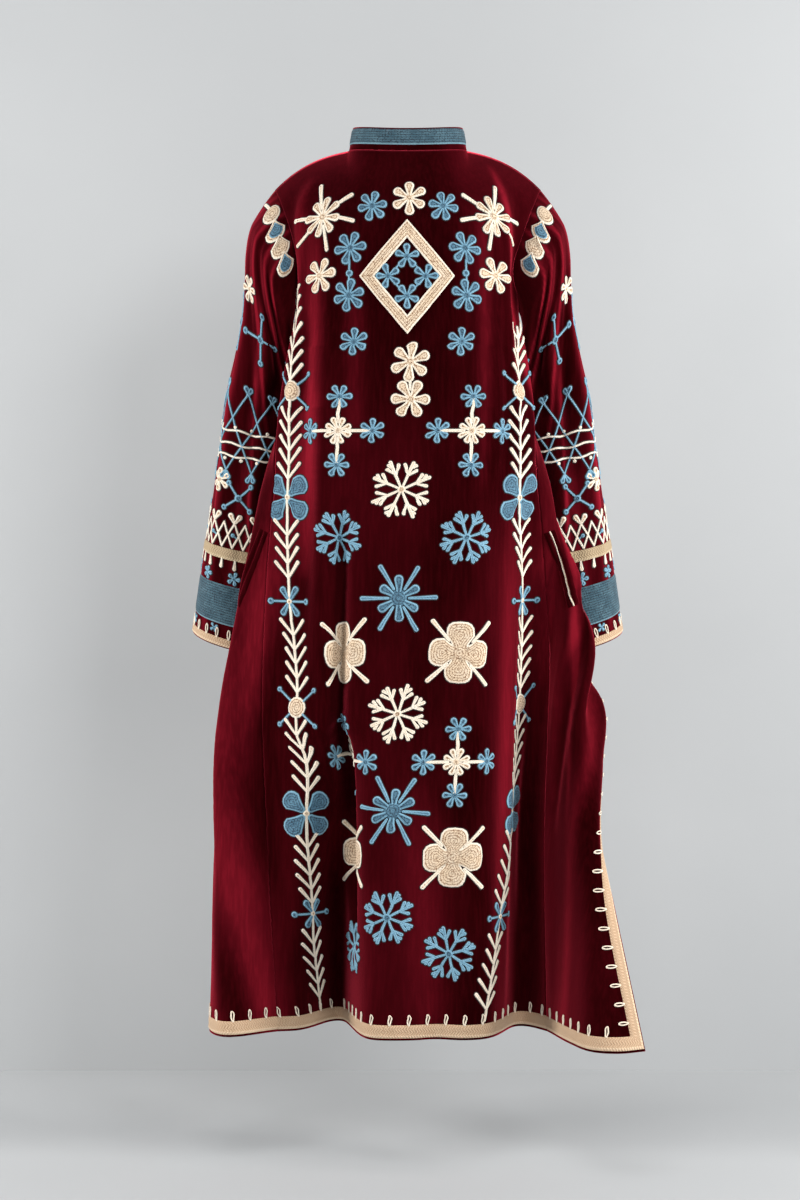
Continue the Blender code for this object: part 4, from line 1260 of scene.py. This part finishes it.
def loop_shape():
    """A teardrop loop of yarn: a tube of six sides along a closed drop shape that stands on the braid.

    A drop's point is half its width times the sine of the turn times the sine of half of it, and as high
    as half its height times 1 less the cosine.
    """
    turn = np.linspace(0, 2 * math.pi, 25)[:-1]
    wide = LOOP_HALF * np.sin(turn) * (0.35 + 0.65 * np.sin(turn / 2)) * 1.05
    tall = LOOP_TALL / 2 * (1 - np.cos(turn))
    ring = np.linspace(0, 2 * math.pi, 7)[:-1]
    line = np.stack([wide, tall], axis=1)
    ahead = np.roll(line, -1, 0) - np.roll(line, 1, 0)
    ahead /= np.linalg.norm(ahead, axis=1, keepdims=True)
    out = np.stack([ahead[:, 1], -ahead[:, 0]], axis=1)
    flat = line[:, None] + out[:, None] * (YARN * np.cos(ring))[None, :, None]
    high = np.broadcast_to(YARN * (1 + 0.9 * np.sin(ring)), flat.shape[:2])
    return flat[..., 0], flat[..., 1], high


def loop_piece(name, panel, places):
    """Loops at places: how far up and across each one's foot is, and which way it points, 0 for up."""
    sideways, upward, high = loop_shape()
    points = []
    for up, across, lean in places:
        rise, run = (sideways, lean * upward) if lean else (upward, sideways)
        points.append(panel.at_row(panel.row_up(up + rise), across + run, high))
    points = np.array(points)
    out = points - points.mean(axis=2, keepdims=True)
    facing = np.cross(np.roll(points, -1, 1) - points, np.roll(points, -1, 2) - points)
    inward = np.sum(facing * out, axis=(1, 2, 3)) < 0
    points[inward] = points[inward][:, :, ::-1]
    count, n, m = points.shape[:3]
    stitch = np.full((count, n, m, 2), YARN_ROW)
    stitch[..., 0] = np.arange(n)[:, None] * YARN_STEP
    faces = grid_faces(n, m, closed=True, count=count, ring=True)
    return mesh_piece(name, points, faces, CREAM, "cream_braid", stitch)


def trim_body(panels):
    """The plait along the hem and the free edges and the loops that stand on it, by the panel they lie on."""
    back = panels["back"]
    right, left = -back.zero[0], back.width[0] - back.zero[0]
    hem = band_piece("hem_plait", [hem_strip(back, right, left)], PLAIT, "cream_braid", "hem_braid")
    foot = BRAID_UP + BRAID_WIDE - LOOP_FOOT
    places = [(foot, a, 0) for a in np.arange(right + 0.012, left - 0.008, LOOP_EVERY)]
    pieces = {"back": [hem, loop_piece("hem_loops", back, places)]}
    for name, side in SIDES:
        front = panels[f"front_{name}"]
        wide = front.width[0]
        strips = [hem_strip(front, 0.0, side * (wide - EDGE_LEFT), side), edge_strip(front, side)]
        plait = band_piece(f"front_plait_{name}", strips, PLAIT, "cream_braid", f"front_braid_{name}")
        places = [(foot, side * a, 0) for a in np.arange(0.018, wide - 0.035, LOOP_EVERY)]
        ups = np.arange(0.040, front.up[-1] - 0.02, LOOP_EVERY * 0.96)
        reach = front.width_at(front.row_up(ups)) - BRAID_WIDE - 0.0005
        places += [(u, side * r, -side) for u, r in zip(ups, reach)]
        pieces[f"front_{name}"] = [plait, loop_piece(f"front_loops_{name}", front, places)]
    return pieces


def ring_strip(panel, low, high, tall, lift):
    """A strip all round a sleeve between two distances up from the cuff's edge."""
    a = np.linspace(0, 1, tall)[:, None]
    up = low + (high - low) * a
    rise = np.clip(np.minimum(a, 1 - a) * 12, 0.12, 1) * BRAID_THICK * lift
    row = panel.row_up(up)
    around = np.linspace(0, 1, RING_COLUMNS + 1)[:-1] * panel.width_at(row)
    return strip(panel, row, around, rise, around, up - low)


def trim_sleeve(name, panel):
    """The cuff's braid and loops, the blue band, and the straw coloured braid above it."""
    pieces = []
    parts = (
        ("cuff_plait", "cuff_braid", EDGE_LEFT, CUFF_BRAID, 9, 1.0, PLAIT, "cream_braid"),
        ("cuff_blue", "cuff_band", BAND_UP, BAND_UP + BAND_TALL, 14, 0.8, TEAL, "blue_stitching"),
        ("sleeve_plait", "sleeve_braid", STRAW_UP, STRAW_UP + STRAW_TALL, 9, 1.1, STRAW, "straw_braid"),
    )
    for piece, node, low, high, tall, lift, look, slot in parts:
        ring = ring_strip(panel, low, high, tall, lift)
        pieces.append(band_piece(f"{piece}_{name}", [ring], look, slot, f"{node}_{name}", closed=True))
    shares = (np.arange(CUFF_LOOPS) + 0.5) / CUFF_LOOPS
    places = [(CUFF_BRAID - LOOP_FOOT, a * panel.width[0], 0) for a in shares]
    pieces.append(loop_piece(f"cuff_loops_{name}", panel, places))
    return pieces


def stitch_sleeve(name, side, panel):
    """The sleeve's motifs, measured up from the cuff and outward from the middle of its back."""
    work = Stitching()

    def spot(share, up, shift=0.0):
        """The place a share of the way round and a distance up, as across and down from the cuff's edge."""
        return side * (share * panel.width_at(panel.row_up(up)) + shift), -up

    for k in range(18):
        work.petal("cream", spot((k + 0.5) / 18, STRAW_UP + 0.002), 0.25, 0.0165, base=0.0013, tip=0.0030)
    for k in range(8):
        work.flower("blue", spot((k + 0.2) / 8, 0.107), 0.0105, 0.1, petals=5, plump=0.30)
        work.flower("blue", spot((k + 0.7) / 8, 0.0265), 0.0075, 0.1, petals=4, plump=0.30)
    low, high, count = STRAW_UP + STRAW_TALL + 0.002, 0.190, 11
    for k in range(count):
        for first in (0.0, 0.5):
            foot, tip = spot((k + first) / count, low), spot((k + first + 0.5) / count, high)
            work.line("cream", foot, tip, thick=0.0014)
            work.line("cream", tip, spot((k + first + 1) / count, low), thick=0.0014)
        tip = spot((k + 0.5) / count, high)
        for lean in (-0.085, 0.085):
            work.petal("cream", tip, -0.25 + lean, 0.0170, base=0.0022, tip=0.0042)
        work.line("blue", spot((k + 0.30) / count, 0.168), spot((k + 0.52) / count, 0.172), thick=0.0011)
        work.dot("blue", spot((k + 0.52) / count, 0.172), 0.0030)
    for k in range(4):
        share = k / 4
        middle = spot(share, 0.229, 0.016)
        work.pins("blue", middle, 0.0, 0.031, [0.11, 0.39, 0.63, 0.86], head=0.0042)
        work.dot("blue", middle, 0.0052)
        work.flower("cream", spot(share + 0.125, 0.252, 0.004), 0.0185, 0.08, plump=0.25)
        middle = spot(share, 0.464, 0.010)
        work.pins("blue", middle, 0.0, 0.037, [0.02 * side, 0.27, 0.52, 0.75], head=0.0044)
        work.dot("blue", middle, 0.0056)
        if k < 3:
            work.flower("cream", spot(share + 0.11, 0.514, 0.002), 0.0190, 0.05, plump=0.25)
    stitch_lattice(work, spot)
    out, up, yarn = CHAIN[0]
    work.line(yarn, (side * (out + 0.010), -up), (side * (out + 0.034), -up + 0.004), thick=0.0022)
    work.dot(yarn, (side * out, -up), 0.0150)
    for out, up, yarn in CHAIN[1:]:
        turn = 0.03 if side < 0 else 0.47
        at = side * (out + 0.017), -up
        work.petal("cream", at, turn, 0.0330, base=0.0035, tip=0.0170, square=2.4)
        if yarn == "blue":
            at = side * (out + 0.0125), -up
            work.petal(yarn, at, turn, 0.0240, base=0.0018, tip=0.0125, square=2.4, lift=4 * LIFT)
    return work.pieces("sleeve", panel, f"_{name}")


def stitch_lattice(work, spot):
    """Three cream rows round the sleeve's elbow, crossed by slanting blue stems that end in petals."""
    count = 40
    for up in (0.290, 0.307, 0.326):
        wave = [spot(k / count, up + 0.0016 * math.sin(k * 1.26 + up * 90)) for k in range(count + 1)]
        for start, end in zip(wave[:-1], wave[1:]):
            work.line("cream", start, end, thick=0.0014)
    for k in range(14):
        work.dot("cream", spot((k + 0.3) / 14, 0.331), 0.0026)
        work.dot("cream", spot((k + 0.7) / 14, 0.285), 0.0026)
    stems, rise = 9, 4
    for k in range(stems):
        for lean in (-1, 1):
            foot, top = k / stems, (k + lean * 1.45) / stems
            course = [spot(foot + (top - foot) * j / rise, 0.268 + 0.110 * j / rise) for j in range(rise + 1)]
            for start, end in zip(course[:-1], course[1:]):
                work.line("blue", start, end, thick=0.0012)
            for place, other in ((course[0], course[1]), (course[-1], course[-2])):
                turn = math.atan2(place[1] - other[1], place[0] - other[0]) / (2 * math.pi)
                work.petal("blue", place, turn, 0.0150, base=0.0022, tip=0.0042)


def ribbon(panel, start, end, offsets, tall, count=60):
    """A strip along a straight line on a panel: offsets to its side and heights, which fade at both ends."""
    t = np.linspace(0, 1, count)[None]
    run = np.array(end) - np.array(start)
    long = np.linalg.norm(run)
    run = run / long
    offsets, tall = offsets[:, None], tall[:, None]
    across = start[0] + run[0] * long * t - run[1] * offsets
    down = start[1] + run[1] * long * t + run[0] * offsets
    fade = np.clip(np.minimum(t, 1 - t) * 14, 0.02, 1) ** 0.5
    return strip(panel, panel.row_down(down), across, tall * fade, long * t, offsets - offsets.min())


def build_pocket(name, side, panel):
    """The pocket's slit between two velvet lips: the right one stands open and shows its cream piping."""
    start, end = ((side * across, down) for across, down in POCKET)
    turn = np.linspace(0, 1, 9)
    bulge = np.sqrt(np.clip(np.sin(math.pi * turn), 0, 1))
    roll = SEAM_GAP + (LIP_OPEN if side < 0 else LIP_SHUT) * bulge
    lips = [ribbon(panel, start, end, side * (low + (high - low) * turn), roll) for low, high in LIPS]
    lip = band_piece(f"pocket_lips_{name}", lips, VELVET, "velvet", f"pocket_welt_{name}")
    if side > 0:
        return [lip]
    cord = ribbon(panel, start, end, side * PIPING_HALF * (2 * turn - 1), SEAM_GAP + PIPING_TALL * bulge)
    return [lip, band_piece(f"pocket_piping_{name}", [cord], CREAM, "cream_braid")]


def build_collar():
    """The low stand on the neck seam, and the blue stitched band round it."""
    share = np.linspace(-1, 1, 161)
    back_part = 0.52
    side = np.where(share >= 0, 1.0, -1.0)
    behind = back_neck(np.abs(share) / back_part * math.pi / 2, side)
    before = front_neck((np.abs(share) - back_part) / (1 - back_part), side)
    line = np.where((np.abs(share) <= back_part)[:, None], behind, before)
    away = line * (1, 1, 0)
    away = away / np.linalg.norm(away, axis=-1, keepdims=True)
    levels = np.concatenate([[-TUCK], np.linspace(0.0010, COLLAR_TALL, 9)])
    inward = np.concatenate([[1.2 * CLOTH], 0.18 * levels[1:]])
    rise = line[None] + np.array([0, 0, 1.0]) * levels[:, None, None]
    rise = rise - away[None] * inward[:, None, None]
    normals = grid_normals(rise)
    normals *= np.sign(np.sum(normals * away[None]))
    panel = Panel(rise, normals, 80)
    piece = cloth_piece("collar_velvet", "collar", panel)
    wide = np.linspace(0, 1, 9)[:, None]
    tall = np.array([0.12, 0.9, 1, 1, 1, 1, 1, 0.9, 0.12])[:, None] * 0.0013
    across = np.linspace(-panel.zero[5], panel.width[5] - panel.zero[5], 160)
    sheet = strip(panel, 1 + 8 * (0.22 + 0.72 * wide), across, tall, across, wide * 0.0237)
    return piece, band_piece("collar_blue", [sheet], TEAL, "blue_stitching", "collar_band")


def build_room():
    """A pale wall beyond the coat that is clear from its far side, a pale floor, lights and the camera."""
    points = [(x, y, FLOOR) for y in (-9, WALL, 9) for x in (-7, 7)] + [(-7, WALL, 5), (7, WALL, 5)]
    mesh = bpy.data.meshes.new("wall_and_floor")
    mesh.from_pydata(points, [], [(0, 1, 3, 2), (2, 3, 5, 4), (6, 7, 3, 2)])
    look = Look("pale_paint")
    fine = look.noise(3.0, 3.0)
    mesh.materials.append(look.finish(look.mix(fine, (0.400, 0.412, 0.420), (0.430, 0.442, 0.450)), 0.9))
    far_side = look.add("ShaderNodeNewGeometry", {}, {}, "Backfacing")
    clear = look.add("ShaderNodeBsdfTransparent", {}, {})
    surface = look.add("ShaderNodeMixShader", {}, [far_side, Wire(look, look.shader.outputs[0]), clear])
    look.feed(look.tree.nodes["Material Output"].inputs["Surface"], surface)
    add_object("wall_and_floor", mesh)
    for row in LIGHTS:
        light = dict(zip(LIGHT_NAMES, row))
        lamp = bpy.data.lights.new(light["name"], "AREA")
        lamp.size = light["size"]
        lamp.energy = light["power"]
        lamp.color = light["colour"]
        item = add_object(light["name"], lamp)
        item.location = light["place"]
        x, y, z = np.array(light["aim"], float) - np.array(light["place"])
        item.rotation_euler = (math.atan2(math.hypot(x, y), -z), 0, math.atan2(y, x) - math.pi / 2)
    world = bpy.data.worlds.new("studio")
    world.use_nodes = True
    world.node_tree.nodes["Background"].inputs[0].default_value = SKY
    world.node_tree.nodes["Background"].inputs[1].default_value = SKY_LIGHT
    bpy.context.scene.world = world
    bpy.context.scene.view_settings.view_transform = "Standard"
    camera = bpy.data.cameras.new("camera")
    camera.lens = CAMERA_LENS
    camera.sensor_width = 36
    item = add_object("camera", camera)
    item.location = CAMERA_PLACE
    item.rotation_euler = (math.radians(90 - CAMERA_DIP), 0, math.pi)
    bpy.context.scene.camera = item


def main():
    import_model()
    panels = body_panels()
    for name, side in SIDES:
        panels[f"sleeve_{name}"] = sleeve_panel(side, panels)
    cloth = {node: cloth_piece(f"{node}_velvet", node, panel) for node, panel in panels.items()}
    trims = trim_body(panels)
    trims["back"] += stitch_back(panels["back"])
    for name, side in SIDES:
        sleeve = f"sleeve_{name}"
        trims[sleeve] = trim_sleeve(name, panels[sleeve]) + stitch_sleeve(name, side, panels[sleeve])
        trims[f"front_{name}"] += build_pocket(name, side, panels[f"front_{name}"])
    cloth["collar"], band = build_collar()
    trims["collar"] = [band]
    for row in SHEETS:
        cut = dict(zip(SHEET_NAMES, row))
        [cloth[n] for n in cut["hangs_from"]]
        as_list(trims[cut["node"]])
    build_room()


main()
